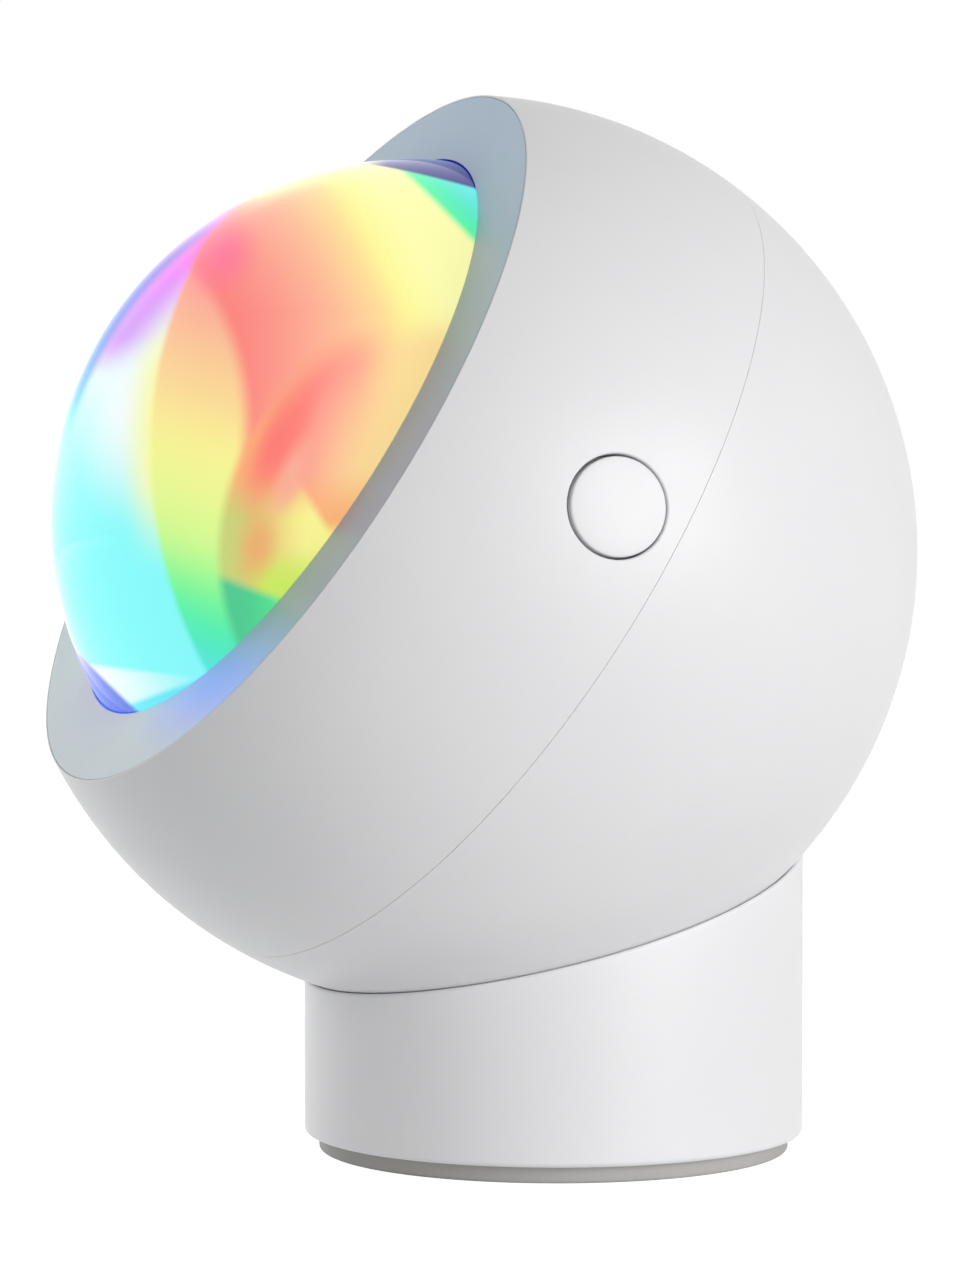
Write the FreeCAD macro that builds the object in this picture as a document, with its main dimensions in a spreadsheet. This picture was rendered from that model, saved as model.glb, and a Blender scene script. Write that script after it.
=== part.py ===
import FreeCAD, Part
import math
import os
import re

import Sketcher

os.makedirs("parts", exist_ok=True)

V = FreeCAD.Vector
doc = FreeCAD.newDocument("SunsetLamp")
sheet = doc.addObject("Spreadsheet::Sheet", "Sizes")

# Driving sizes in millimetres and degrees. The ball's own frame has its
# origin in the ball centre, z out through the lens and y upward.
SIZES = [
    # the ball, and how far its centre stands in front of the base's axis
    ("ball_radius", 40.0), ("ball_forward", 9.0), ("lens_tilt", 31.0),
    ("shell_wall", 2.2), ("rim_plane", 20.2), ("rim_round", 0.3),
    ("rim_lip", 0.35), ("fit_gap", 0.1), ("seam_back", 0.7),
    ("seam_gap", 0.1), ("lap_depth", 2.0), ("lap_wall", 1.0),
    # bezel, lens and filter
    ("bezel_width", 6.7), ("bezel_face", 1.2), ("bezel_step", 1.2),
    ("skirt_depth", 4.1), ("skirt_wall", 1.6), ("ledge_depth", 2.6),
    ("snap_height", 0.45), ("snap_arc", 30.0), ("slot_width", 0.8),
    ("dome_rise", 16.7), ("gasket_thick", 0.8), ("lens_flange", 2.6),
    ("flange_reach", 1.8), ("filter_thick", 1.2), ("filter_inset", 2.2),
    # light tube, LED and heat sink
    ("filter_shelf", 1.2), ("tube_rear", 5.5), ("tube_wall", 2.0),
    ("clamp_thick", 2.4), ("clamp_gap", 0.4), ("tube_foot_radius", 15.0),
    ("tube_foot_top", 0.6), ("arm_thick", 1.6), ("arm_front", 8.0),
    ("arm_width", 6.0), ("engine_back", 3.0), ("board_thick", 1.6),
    ("led_board_radius", 9.0), ("led_side", 7.0), ("led_thick", 0.6),
    ("led_dome", 1.1), ("sink_thick", 3.0), ("sink_radius", 15.0),
    ("sink_screw_ring", 12.2), ("fin_depth", 8.0), ("fin_thick", 1.3),
    ("fin_pitch", 2.9), ("fin_length", 16.0),
    # screws and bosses in the ball
    ("screw_radius", 1.0), ("screw_length", 6.0), ("screw_head_radius", 1.9),
    ("screw_head", 1.3), ("thread_gap", 0.05), ("pass_gap", 0.15),
    ("boss_radius", 2.6), ("boss_inset", 2.3), ("boss_gap", 0.3),
    # charging board and socket
    ("main_top", 7.8), ("main_clear", 3.0), ("main_half", 11.0),
    ("main_screw_inset", 10.0), ("main_screw_y", 8.0),
    ("mouth_inset", 1.1), ("socket_overhang", 4.9), ("socket_width", 8.94),
    ("socket_height", 3.26), ("socket_length", 7.3), ("socket_wall", 0.3),
    ("tongue_width", 6.7), ("tongue_thick", 0.7), ("slot_gap", 0.2),
    ("chip_side", 4.0), ("chip_thick", 1.0), ("coil_radius", 1.9),
    ("coil_height", 2.0), ("can_radius", 1.5), ("can_height", 2.6),
    # cell, its tray, and the steel dish
    ("cell_front", 18.0), ("cell_thick", 8.0), ("cell_width", 30.0),
    ("cell_height", 20.0), ("cell_round", 1.5), ("tray_thick", 1.4),
    ("tray_wall", 1.2), ("tray_depth", 5.5), ("tray_ear_gap", 0.7),
    ("tray_screw_y", 1.0), ("rib_offset", 10.0), ("rib_thick", 1.6),
    ("rib_length", 8.0), ("dish_thick", 1.0), ("dish_arc", 40.0),
    # leads
    ("lead_radius", 0.5), ("lead_bend", 2.4), ("lead_pitch", 1.7),
    ("lead_clear", 1.6),
    # push button and switch
    ("button_ahead", 7.4), ("button_lift", 2.0), ("button_radius", 4.0),
    ("button_gap", 0.2), ("button_round", 0.2), ("button_rim", 1.3),
    ("button_rim_thick", 1.2), ("button_drop", 0.75), ("stem_radius", 1.6),
    ("stem_length", 2.3), ("plunger_radius", 1.5), ("plunger_length", 2.0),
    ("plunger_out", 1.2), ("plunger_gap", 0.06), ("switch_side", 6.0),
    ("switch_height", 3.4), ("switch_travel", 0.5), ("switch_floor", 0.1),
    ("switch_board_thick", 1.2), ("cradle_clear", 0.7), ("cradle_wall", 2.0),
    ("cradle_bite", 1.2), ("cradle_front", 6.5), ("cradle_rear", 3.8),
    ("cradle_stop", 1.0), ("cradle_lip", 1.2),
    # base
    ("base_radius", 22.2), ("base_wall", 2.2), ("base_edge", 0.5),
    ("foot_radius", 20.9), ("foot_height", 1.5), ("foot_edge", 0.3),
    ("seat_gap", 0.3), ("cup_floor", 2.4), ("plate_thick", 2.0),
    ("plate_gap", 0.2), ("clip_height", 3.8), ("clip_wall", 2.2),
    ("magnet_radius", 8.0), ("magnet_thick", 4.0), ("magnet_cover", 1.4),
    ("magnet_gap", 0.1), ("well_wall", 2.3), ("ring_offset", 0.6),
    ("ring_width", 1.8), ("ring_gap", 0.1), ("ring_height", 1.3),
    ("base_boss_inset", 5.0), ("base_boss_radius", 3.0),
    ("base_screw_radius", 1.0), ("base_screw_length", 8.0),
    ("base_screw_head", 1.9), ("ballast_thick", 6.0), ("ballast_gap", 0.4),
]

for row, (alias, number) in enumerate(SIZES, 1):
    sheet.set("A%d" % row, alias)
    sheet.set("B%d" % row, str(number))
    sheet.setAlias("B%d" % row, alias)
doc.recompute()

WORDS = re.compile(r"\b(" + "|".join(alias for alias, _ in SIZES) + r")\b")


def bound(text):
    """Turn a formula written with size names into a sheet expression."""
    return WORDS.sub(r"Sizes.\1", str(text))


def value(text):
    """The number a formula gives with the present sizes."""
    return float(sheet.evalExpression(bound(text)))


# Sizes that follow from the driving ones and are used by several pieces.
BALL_INNER = "(ball_radius - shell_wall)"
RIM_RADIUS = "sqrt(ball_radius^2 - rim_plane^2)"
LENS_RADIUS = "(" + RIM_RADIUS + " - bezel_width)"
DOME_RADIUS = "((" + LENS_RADIUS + "^2 + dome_rise^2) / (2 * dome_rise))"
DOME_CENTRE = "(rim_plane + dome_rise - " + DOME_RADIUS + ")"
BEZEL_SEAT = "(" + RIM_RADIUS + " - rim_lip)"
BEZEL_BACK = "(rim_plane - bezel_face)"
SKIRT_OUTER = "(" + BEZEL_SEAT + " - bezel_step)"
SKIRT_INNER = "(" + SKIRT_OUTER + " - skirt_wall)"
SKIRT_BACK = "(" + BEZEL_BACK + " - skirt_depth)"
LEDGE_BACK = "(" + BEZEL_BACK + " - ledge_depth)"
LENS_TOP = "(" + BEZEL_BACK + " - gasket_thick)"
LENS_BACK = "(" + LENS_TOP + " - lens_flange)"
DOME_AT_LENS_TOP = "sqrt(" + DOME_RADIUS + "^2 - (" + LENS_TOP + " - " + DOME_CENTRE + ")^2)"
DOME_AT_BEZEL = "sqrt(" + DOME_RADIUS + "^2 - (" + BEZEL_BACK + " - " + DOME_CENTRE + ")^2)"
FILTER_RADIUS = "(" + LENS_RADIUS + " - filter_inset)"
TUBE_FRONT = "(" + FILTER_RADIUS + " - filter_shelf)"
CLAMP_BACK = "(" + LENS_BACK + " - clamp_thick)"
LED_BOARD_TOP = "(board_thick - engine_back)"
TUBE_BACK = "(" + LED_BOARD_TOP + " + led_thick)"
TUBE_SLOPE = "((" + TUBE_FRONT + " - tube_rear) / (" + CLAMP_BACK + " - " + TUBE_BACK + "))"
SINK_BACK = "(0 - engine_back - sink_thick)"
SCREW_PASS = "(screw_radius + pass_gap)"
SCREW_BITE = "(screw_radius + thread_gap)"
BOSS_TOP = "(" + SKIRT_BACK + " - boss_gap)"
TUBE_SCREW_RING = "(sqrt(" + BALL_INNER + "^2 - " + BOSS_TOP + "^2) - boss_inset)"
CLAMP_RADIUS = "(" + TUBE_SCREW_RING + " - boss_radius - clamp_gap)"
MAIN_BACK = "(0 - main_top - board_thick)"
SOCKET_MOUTH = "(ball_radius - mouth_inset)"
SOCKET_MIDDLE = "(socket_height / 2 - main_top)"
MAIN_OUTER = "(" + SOCKET_MOUTH + " - socket_overhang)"
MAIN_INNER = "(sink_radius + main_clear)"
MAIN_SCREW_X = "(" + MAIN_OUTER + " - main_screw_inset)"
TRAY_SCREW_X = "(cell_width / 2 + fit_gap + tray_wall + tray_ear_gap + boss_radius)"

# Distances from the ball centre along the button's own axis.
RIM_TOP = "(" + BALL_INNER + " - button_drop)"
RIM_BACK = "(" + RIM_TOP + " - button_rim_thick)"
STEM_END = "(" + RIM_BACK + " - stem_length)"
SWITCH_TOP = "(" + STEM_END + " - plunger_out)"
SWITCH_BACK = "(" + SWITCH_TOP + " - switch_height)"
SWITCH_BOARD_BACK = "(" + SWITCH_BACK + " - switch_board_thick)"
CRADLE_INNER = "(button_radius + button_rim + cradle_clear)"
CRADLE_BITE = "(" + CRADLE_INNER + " + cradle_bite)"

# Heights and radii in the base.
SEAT_RADIUS = "(ball_radius + seat_gap)"
PLATE_TOP = "(foot_height + plate_thick)"
MAGNET_TOP = "(" + PLATE_TOP + " + clip_height + magnet_thick)"
BALL_HEIGHT = "(" + MAGNET_TOP + " + magnet_cover + " + SEAT_RADIUS + ")"
RING_INNER = "(magnet_radius + ring_offset)"
GROOVE_RADIUS = "(" + RING_INNER + " - ring_gap)"
GROOVE_FLOOR = ("(" + BALL_HEIGHT + " - sqrt(" + SEAT_RADIUS + "^2 - " + GROOVE_RADIUS
                + "^2) - ring_height)")
BASE_INNER = "(base_radius - base_wall)"
BASE_SCREW_RING = "(base_radius - base_boss_inset)"
WELL_RADIUS = "(magnet_radius + magnet_gap + well_wall)"

HEAD = ("placement(vector(0; 0 - ball_forward; " + BALL_HEIGHT + ");"
        " rotation(vector(1; 0; 0); 90 - lens_tilt))")
BUTTON = (HEAD + " * placement(vector(0; 0; 0); rotation(vector(0; 0; 1); button_lift))"
          " * placement(vector(0; 0; 0); rotation(vector(0; 1; 0); 90 - button_ahead))")
IN_HEAD_BUTTON = ("placement(vector(0; 0; 0); rotation(vector(0; 0; 1); button_lift))"
                  " * placement(vector(0; 0; 0); rotation(vector(0; 1; 0); 90 - button_ahead))")


def bind(obj, **formulas):
    """Bind properties of an object to formulas."""
    for name, text in formulas.items():
        obj.setExpression(name.replace("__", "."), bound(text))


def place(obj, x="0", y="0", z="0", axis=None, angle="0"):
    """Bind where an object stands, and how it is turned about one axis."""
    text = "placement(vector(%s; %s; %s); rotation(vector(%s); %s))"
    turn = "; ".join(str(n) for n in (axis or (0, 0, 1)))
    obj.setExpression("Placement", bound(text % (x, y, z, turn, angle)))
    return obj


def cylinder(name, radius, height, x="0", y="0", z="0", axis=None, angle="0"):
    obj = doc.addObject("Part::Cylinder", name)
    bind(obj, Radius=radius, Height=height)
    return place(obj, x, y, z, axis, angle)


def cone(name, radius_low, radius_high, height, x="0", y="0", z="0", axis=None, angle="0"):
    obj = doc.addObject("Part::Cone", name)
    bind(obj, Radius1=radius_low, Radius2=radius_high, Height=height)
    return place(obj, x, y, z, axis, angle)


def ball(name, radius, x="0", y="0", z="0"):
    obj = doc.addObject("Part::Sphere", name)
    bind(obj, Radius=radius)
    return place(obj, x, y, z)


def box(name, low, high):
    """A block between two corners, each given as three formulas."""
    obj = doc.addObject("Part::Box", name)
    sides = ["(%s) - (%s)" % (b, a) for a, b in zip(low, high)]
    bind(obj, Length=sides[0], Width=sides[1], Height=sides[2])
    return place(obj, *low)


def join(name, parts):
    obj = doc.addObject("Part::MultiFuse", name)
    obj.Shapes = parts
    obj.Refine = True
    return obj


def less(name, base, tool):
    obj = doc.addObject("Part::Cut", name)
    obj.Base = base
    obj.Tool = tool
    return obj


def shared(name, parts):
    obj = doc.addObject("Part::MultiCommon", name)
    obj.Shapes = parts
    return obj


def group(name, parts):
    obj = doc.addObject("Part::Compound", name)
    obj.Links = parts
    return obj


def new_body(name):
    body = doc.addObject("PartDesign::Body", name)
    body.AllowCompound = True
    return body


def origin_plane(body, role):
    return [f for f in body.Origin.OriginFeatures if f.Role == role][0]


def profile(body, name, role, points, centres=None, offset="0"):
    """A closed sketch through points given as (x, y) formulas.

    centres maps the number of a side to the (x, y) of its arc's centre and
    the arc's sense (1 turns left). A point whose third entry is "x" or "y"
    is held in that direction only, since an arc already fixes the other.
    """
    centres = centres or {}
    sketch = body.newObject("Sketcher::SketchObject", name)
    sketch.AttachmentSupport = [(origin_plane(body, role), "")]
    sketch.MapMode = "FlatFace"
    sketch.setExpression("AttachmentOffset.Base.z", bound(offset))
    spots = [V(value(p[0]), value(p[1]), 0) for p in points]
    sides = []
    for i, start in enumerate(spots):
        end = spots[(i + 1) % len(spots)]
        if i in centres:
            cx, cy, sense = centres[i]
            middle = V(value(cx), value(cy), 0)
            first, last = (start, end) if sense > 0 else (end, start)
            circle = Part.Circle(middle, V(0, 0, 1), (start - middle).Length)
            a = math.atan2(first.y - middle.y, first.x - middle.x)
            b = math.atan2(last.y - middle.y, last.x - middle.x)
            sides.append(sketch.addGeometry(Part.ArcOfCircle(circle, a, b), False))
        else:
            sides.append(sketch.addGeometry(Part.LineSegment(start, end), False))
    for i in range(len(sides)):
        begin, _ = side_ends(i, centres)
        _, finish = side_ends((i - 1) % len(sides), centres)
        sketch.addConstraint(Sketcher.Constraint(
            "Coincident", sides[i - 1], finish, sides[i], begin))
        held = points[i][2] if len(points[i]) > 2 else "xy"
        hold(sketch, sides[i], begin, points[i][0], points[i][1], held)
    for i, (cx, cy, _) in centres.items():
        hold(sketch, sides[i], 3, cx, cy, "xy")
    return sketch


def side_ends(i, centres):
    """Which end numbers of a side come first and last along the outline."""
    if i in centres and centres[i][2] < 0:
        return 2, 1
    return 1, 2


def hold(sketch, side, end, x, y, held):
    """Fix one point of a sketch to its formulas."""
    if "x" in held:
        if str(x) == "0":
            sketch.addConstraint(Sketcher.Constraint("PointOnObject", side, end, -2))
        else:
            number = sketch.addConstraint(
                Sketcher.Constraint("DistanceX", -1, 1, side, end, value(x)))
            sketch.setExpression("Constraints[%d]" % number, bound(x))
    if "y" in held:
        if str(y) == "0":
            sketch.addConstraint(Sketcher.Constraint("PointOnObject", side, end, -1))
        else:
            number = sketch.addConstraint(
                Sketcher.Constraint("DistanceY", -1, 1, side, end, value(y)))
            sketch.setExpression("Constraints[%d]" % number, bound(y))


def turned(name, points, centres=None, angle=360):
    """A body turned about its own z axis from a half outline."""
    body = new_body(name)
    sketch = profile(body, name + "_outline", "XZ_Plane", points, centres)
    doc.recompute()
    feature = body.newObject("PartDesign::Revolution", name + "_turned")
    feature.Profile = sketch
    feature.ReferenceAxis = (sketch, ["V_Axis"])
    feature.Angle = angle
    return body


NODES = []


def node(obj, label, frame=None):
    """Name a finished piece and stand it in its frame."""
    if frame:
        obj.setExpression("Placement", bound(frame))
    obj.Label = label
    NODES.append(obj)
    return obj


# ---------------------------------------------------------------- ball shells

def front_shell():
    """White front half: rim, bezel ledge, lap joint, screw bosses, switch cradle."""
    seam = "0 - seam_back"
    lap = "0 - seam_back - lap_depth"
    points = [
        ("sqrt(ball_radius^2 - seam_back^2)", seam),
        ("sqrt(ball_radius^2 - (rim_plane - rim_round)^2)", "rim_plane - rim_round", "y"),
        (RIM_RADIUS + " - rim_round / 2", "rim_plane"),
        (BEZEL_SEAT, "rim_plane"),
        (BEZEL_SEAT, BEZEL_BACK),
        (SKIRT_OUTER + " + fit_gap", BEZEL_BACK),
        (SKIRT_OUTER + " + fit_gap", LEDGE_BACK),
        ("sqrt(" + BALL_INNER + "^2 - " + LEDGE_BACK + "^2)", LEDGE_BACK),
        ("sqrt(" + BALL_INNER + "^2 - (seam_back + lap_depth)^2)", lap, "y"),
        (BALL_INNER + " + lap_wall - fit_gap", lap),
        (BALL_INNER + " + lap_wall - fit_gap", seam),
    ]
    skin = turned("front_skin", points, {0: ("0", "0", 1), 7: ("0", "0", -1)})
    bosses = []
    pilots = []
    ribs = []
    for i, angle in enumerate((60, 180, 300)):
        x = TUBE_SCREW_RING + " * cos(%d)" % angle
        y = TUBE_SCREW_RING + " * sin(%d)" % angle
        bosses.append(cylinder("front_boss_%d" % i, "boss_radius", BOSS_TOP + " - arm_front",
                               x, y, "arm_front"))
        pilots.append(cylinder("front_pilot_%d" % i, SCREW_BITE, "screw_length", x, y,
                               "arm_front - arm_thick"))
        rib = doc.addObject("Part::Box", "front_rib_%d" % i)
        reach = "sqrt(ball_radius^2 - " + BOSS_TOP + "^2) - 0.8"
        bind(rib, Length="(" + reach + ") - " + TUBE_SCREW_RING, Width="rib_thick",
             Height=BOSS_TOP + " - arm_front - 1")
        spot = ("placement(vector(0; 0; 0); rotation(vector(0; 0; 1); %d))"
                " * placement(vector(%s; 0 - rib_thick / 2; arm_front + 1);"
                " rotation(vector(0; 0; 1); 0))")
        rib.setExpression("Placement", bound(spot % (angle, TUBE_SCREW_RING)))
        ribs.append(rib)
    whole = join("front_whole", [skin, switch_cradle()] + bosses + ribs)
    hole = cylinder("button_hole", "button_radius + button_gap", "ball_radius")
    hole.setExpression("Placement", bound(IN_HEAD_BUTTON
                       + " * placement(vector(0; 0; 20); rotation(vector(0; 0; 1); 0))"))
    cuts = join("front_cuts", pilots + [hole])
    node(less("front_shell", whole, cuts), "front_shell", HEAD)


def switch_cradle():
    """Two ribs behind the button with grooves the switch board slides into."""
    low = SWITCH_BOARD_BACK + " - cradle_lip"
    ribs = []
    for side in (-1, 1):
        near = "%d * %s" % (side, CRADLE_INNER)
        far = "%d * (%s + cradle_wall)" % (side, CRADLE_INNER)
        edges = (near, far) if side > 0 else (far, near)
        ribs.append(box("cradle_rib_%d" % side, ("0 - cradle_front", edges[0], low),
                        ("cradle_rear", edges[1], "ball_radius")))
    both = join("cradle_ribs", ribs)
    bite = "(" + CRADLE_BITE + " + fit_gap)"
    groove = box("cradle_groove",
                 ("0 - cradle_front + cradle_stop", "0 - " + bite,
                  SWITCH_BOARD_BACK + " - fit_gap / 2"),
                 ("cradle_rear + 1", bite, SWITCH_BACK + " + fit_gap / 2"))
    open_ribs = less("cradle_open", both, groove)
    open_ribs.setExpression("Placement", bound(IN_HEAD_BUTTON))
    inside = ball("cradle_inside", "ball_radius - shell_wall / 2")
    return shared("cradle", [open_ribs, inside])


def rear_shell():
    """White rear half: lap rebate, board and tray pillars, cell ribs, socket slot."""
    seam = "0 - seam_back - seam_gap"
    lap = "0 - seam_back - lap_depth - fit_gap"
    points = [
        ("0", "0 - ball_radius"),
        ("sqrt(ball_radius^2 - (seam_back + seam_gap)^2)", seam, "y"),
        (BALL_INNER + " + lap_wall", seam),
        (BALL_INNER + " + lap_wall", lap),
        ("sqrt(" + BALL_INNER + "^2 - (seam_back + lap_depth + fit_gap)^2)", lap),
        ("0", "0 - " + BALL_INNER, "x"),
    ]
    skin = turned("rear_skin", points, {0: ("0", "0", 1), 4: ("0", "0", -1)})
    inside = ball("rear_inside", "ball_radius - shell_wall / 2")
    pillars = []
    pilots = []
    for i, side in enumerate((-1, 1)):
        x = "0 - " + MAIN_SCREW_X
        y = "%d * main_screw_y" % side
        pillars.append(cylinder("main_pillar_%d" % i, "boss_radius", "ball_radius",
                                x, y, MAIN_BACK + " - ball_radius"))
        pilots.append(cylinder("main_pilot_%d" % i, SCREW_BITE, "screw_length", x, y,
                               MAIN_BACK + " - screw_length"))
        x = "%d * %s" % (side, TRAY_SCREW_X)
        y = "0 - tray_screw_y"
        pillars.append(cylinder("tray_pillar_%d" % i, "boss_radius", "ball_radius",
                                x, y, "0 - cell_front - ball_radius"))
        pilots.append(cylinder("tray_pilot_%d" % i, SCREW_BITE, "screw_length", x, y,
                               "0 - cell_front - screw_length"))
        near = "%d * rib_offset - rib_thick / 2" % side
        far = "%d * rib_offset + rib_thick / 2" % side
        pillars.append(box("cell_rib_%d" % i, (near, "1", "0 - ball_radius"),
                           (far, "1 + rib_length", "0 - cell_front - cell_thick")))
    posts = shared("rear_posts", [join("rear_post_set", pillars), inside])
    whole = join("rear_whole", [skin, posts])
    cuts = join("rear_cuts", pilots + [socket_slot()])
    node(less("rear_shell", whole, cuts), "rear_shell", HEAD)


def rounded_bar(name, width, height, low_x, high_x, middle_z):
    """A bar along x with round ends, centred on y = 0."""
    radius = "(%s) / 2" % height
    half = "((%s) - (%s)) / 2" % (width, height)
    length = "(%s) - (%s)" % (high_x, low_x)
    ends = [cylinder("%s_end_%d" % (name, i), radius, length, low_x, "%d * %s" % (side, half),
                     middle_z, (0, 1, 0), "90") for i, side in enumerate((-1, 1))]
    flat = box(name + "_flat", (low_x, "0 - " + half, "(%s) - %s" % (middle_z, radius)),
               (high_x, half, "(%s) + %s" % (middle_z, radius)))
    return join(name, ends + [flat])


def socket_slot():
    """The round-ended hole the charging socket looks out through."""
    return rounded_bar("socket_slot", "socket_width + 2 * slot_gap",
                       "socket_height + 2 * slot_gap", "0 - ball_radius - 1",
                       "0 - " + SOCKET_MOUTH + " + socket_length", SOCKET_MIDDLE)


def steel_cap():
    """Pressed steel dish inside the rear shell that the base magnet pulls on."""
    outer = "(" + BALL_INNER + " - fit_gap)"
    inner = "(" + BALL_INNER + " - fit_gap - dish_thick)"
    points = [
        ("0", outer, "x"),
        ("0", inner),
        (inner + " * sin(dish_arc)", inner + " * cos(dish_arc)", "x"),
        (outer + " * sin(dish_arc)", outer + " * cos(dish_arc)"),
    ]
    dish = turned("steel_dish", points, {1: ("0", "0", -1), 3: ("0", "0", 1)})
    node(dish, "steel_cap", HEAD + " * placement(vector(0; 0; 0); rotation(vector(1; 0; 0); 135))")


# ------------------------------------------------------------ bezel and lens

def lens_bezel():
    """Flat grey ring with a skirt and three snap beads."""
    points = [
        (LENS_RADIUS + " + fit_gap", "rim_plane"),
        (DOME_AT_BEZEL + " + fit_gap", BEZEL_BACK),
        (SKIRT_INNER, BEZEL_BACK),
        (SKIRT_INNER, SKIRT_BACK),
        (SKIRT_OUTER, SKIRT_BACK),
        (SKIRT_OUTER, BEZEL_BACK),
        (BEZEL_SEAT + " - fit_gap", BEZEL_BACK),
        (BEZEL_SEAT + " - fit_gap", "rim_plane"),
    ]
    ring = turned("bezel_ring", points)
    bead = new_body("bezel_bead")
    top = LEDGE_BACK + " - fit_gap"
    outline = profile(bead, "bead_outline", "XZ_Plane", [
        (SKIRT_OUTER + " - 0.3", SKIRT_BACK + " + 0.1"),
        (SKIRT_OUTER, SKIRT_BACK + " + 0.1"),
        (SKIRT_OUTER + " + snap_height", top),
        (SKIRT_OUTER + " - 0.3", top),
    ])
    doc.recompute()
    sweep = bead.newObject("PartDesign::Revolution", "bead_swept")
    sweep.Profile = outline
    sweep.ReferenceAxis = (outline, ["V_Axis"])
    sweep.setExpression("Angle", bound("snap_arc"))
    sweep.Midplane = True
    doc.recompute()
    pattern = bead.newObject("PartDesign::PolarPattern", "bead_pattern")
    pattern.Originals = [sweep]
    pattern.Axis = (origin_plane(bead, "Z_Axis"), [""])
    pattern.Angle = 360
    pattern.Occurrences = 3
    bead.Tip = pattern
    slots = []
    for i in range(3):
        for j, side in enumerate((-1, 1)):
            slot = doc.addObject("Part::Box", "bezel_slot_%d_%d" % (i, j))
            bind(slot, Length="3 * skirt_wall", Width="slot_width",
                 Height="skirt_depth - slot_width")
            spot = ("placement(vector(0; 0; 0); rotation(vector(0; 0; 1); %d + %d * (snap_arc / 2 + 2)))"
                    " * placement(vector(%s - skirt_wall; 0 - slot_width / 2; %s);"
                    " rotation(vector(0; 0; 1); 0))")
            slot.setExpression("Placement", bound(spot % (120 * i, side, SKIRT_INNER, SKIRT_BACK)))
            slots.append(slot)
    whole = join("bezel_whole", [ring, bead])
    node(less("lens_bezel", whole, join("bezel_slots", slots)), "lens_bezel", HEAD)


def lens():
    """Solid glass lens: domed front, flat back and a thin clamping flange."""
    rim = DOME_AT_LENS_TOP + " + flange_reach"
    points = [
        ("0", LENS_BACK),
        (rim, LENS_BACK),
        (rim, LENS_TOP),
        (DOME_AT_LENS_TOP, LENS_TOP),
        ("0", "rim_plane + dome_rise", "x"),
    ]
    node(turned("lens_glass", points, {3: ("0", DOME_CENTRE, 1)}), "lens", HEAD)


def lens_gasket():
    """Silicone ring between the bezel and the lens flange."""
    inner = DOME_AT_LENS_TOP + " + fit_gap"
    outer = SKIRT_INNER + " - fit_gap"
    points = [(inner, LENS_TOP), (outer, LENS_TOP), (outer, BEZEL_BACK), (inner, BEZEL_BACK)]
    node(turned("gasket_ring", points), "lens_gasket", HEAD)


def dichroic_filter():
    """Coated glass disc that splits the light into the sunset colours."""
    disc = cylinder("filter_disc", FILTER_RADIUS, "filter_thick")
    spot = " * placement(vector(0; 0; %s - filter_thick); rotation(vector(0; 0; 1); 0))"
    node(disc, "dichroic_filter", HEAD + spot % LENS_BACK)


# --------------------------------------------------------------- light engine

def light_tube():
    """Black cone from the LED to the lens, with its clamp, foot and three arms."""
    shelf = "(" + LENS_BACK + " - filter_thick)"
    seat = FILTER_RADIUS + " + fit_gap"
    meet = "(tube_rear + tube_wall + " + TUBE_SLOPE + " * (tube_foot_top - " + TUBE_BACK + "))"
    points = [
        ("tube_rear", TUBE_BACK),
        (TUBE_FRONT, CLAMP_BACK),
        (TUBE_FRONT, shelf),
        (seat, shelf),
        (seat, LENS_BACK),
        (CLAMP_RADIUS, LENS_BACK),
        (CLAMP_RADIUS, CLAMP_BACK),
        (TUBE_FRONT + " + tube_wall", CLAMP_BACK),
        (meet, "tube_foot_top"),
        ("tube_foot_radius", "tube_foot_top"),
        ("tube_foot_radius", "0 - engine_back"),
        ("led_board_radius + fit_gap", "0 - engine_back"),
        ("led_board_radius + fit_gap", TUBE_BACK),
    ]
    cone_body = turned("tube_cone", points)
    low = "arm_front - arm_thick"
    start = "(tube_rear + " + TUBE_SLOPE + " * (arm_front - " + TUBE_BACK + ") + 0.3)"
    arms = []
    cuts = []
    for i, angle in enumerate((60, 180, 300)):
        arm = doc.addObject("Part::Box", "tube_arm_%d" % i)
        bind(arm, Length=TUBE_SCREW_RING + " - " + start, Width="arm_width", Height="arm_thick")
        spot = ("placement(vector(0; 0; 0); rotation(vector(0; 0; 1); %d))"
                " * placement(vector(%s; 0 - arm_width / 2; %s); rotation(vector(0; 0; 1); 0))")
        arm.setExpression("Placement", bound(spot % (angle, start, low)))
        x = TUBE_SCREW_RING + " * cos(%d)" % angle
        y = TUBE_SCREW_RING + " * sin(%d)" % angle
        arms.append(arm)
        arms.append(cylinder("tube_arm_end_%d" % i, "arm_width / 2", "arm_thick", x, y, low))
        cuts.append(cylinder("tube_arm_hole_%d" % i, SCREW_PASS, "arm_thick + 2", x, y,
                             low + " - 1"))
        x = "sink_screw_ring * cos(%d)" % (angle + 60)
        y = "sink_screw_ring * sin(%d)" % (angle + 60)
        cuts.append(cylinder("tube_pilot_%d" % i, SCREW_BITE,
                             "screw_length - sink_thick + 0.2 + 1", x, y, "0 - engine_back - 1"))
    room = "(tube_rear + tube_wall + 0.6)"
    cuts.append(box("tube_lead_notch",
                    ("0 - tube_foot_radius - 1", "0 - lead_pitch / 2 - lead_radius - 0.4",
                     LED_BOARD_TOP + " - 0.1"),
                    ("0 - " + room, "lead_pitch / 2 + lead_radius + 0.4",
                     LED_BOARD_TOP + " + 2 * lead_radius + 0.2")))
    whole = join("tube_whole", [cone_body] + arms)
    node(less("light_tube", whole, join("tube_cuts", cuts)), "light_tube", HEAD)


def led_board():
    """Round aluminium board the LED is soldered to."""
    disc = cylinder("led_disc", "led_board_radius", "board_thick")
    spot = " * placement(vector(0; 0; 0 - engine_back); rotation(vector(0; 0; 1); 0))"
    node(disc, "led_board", HEAD + spot)


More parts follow.
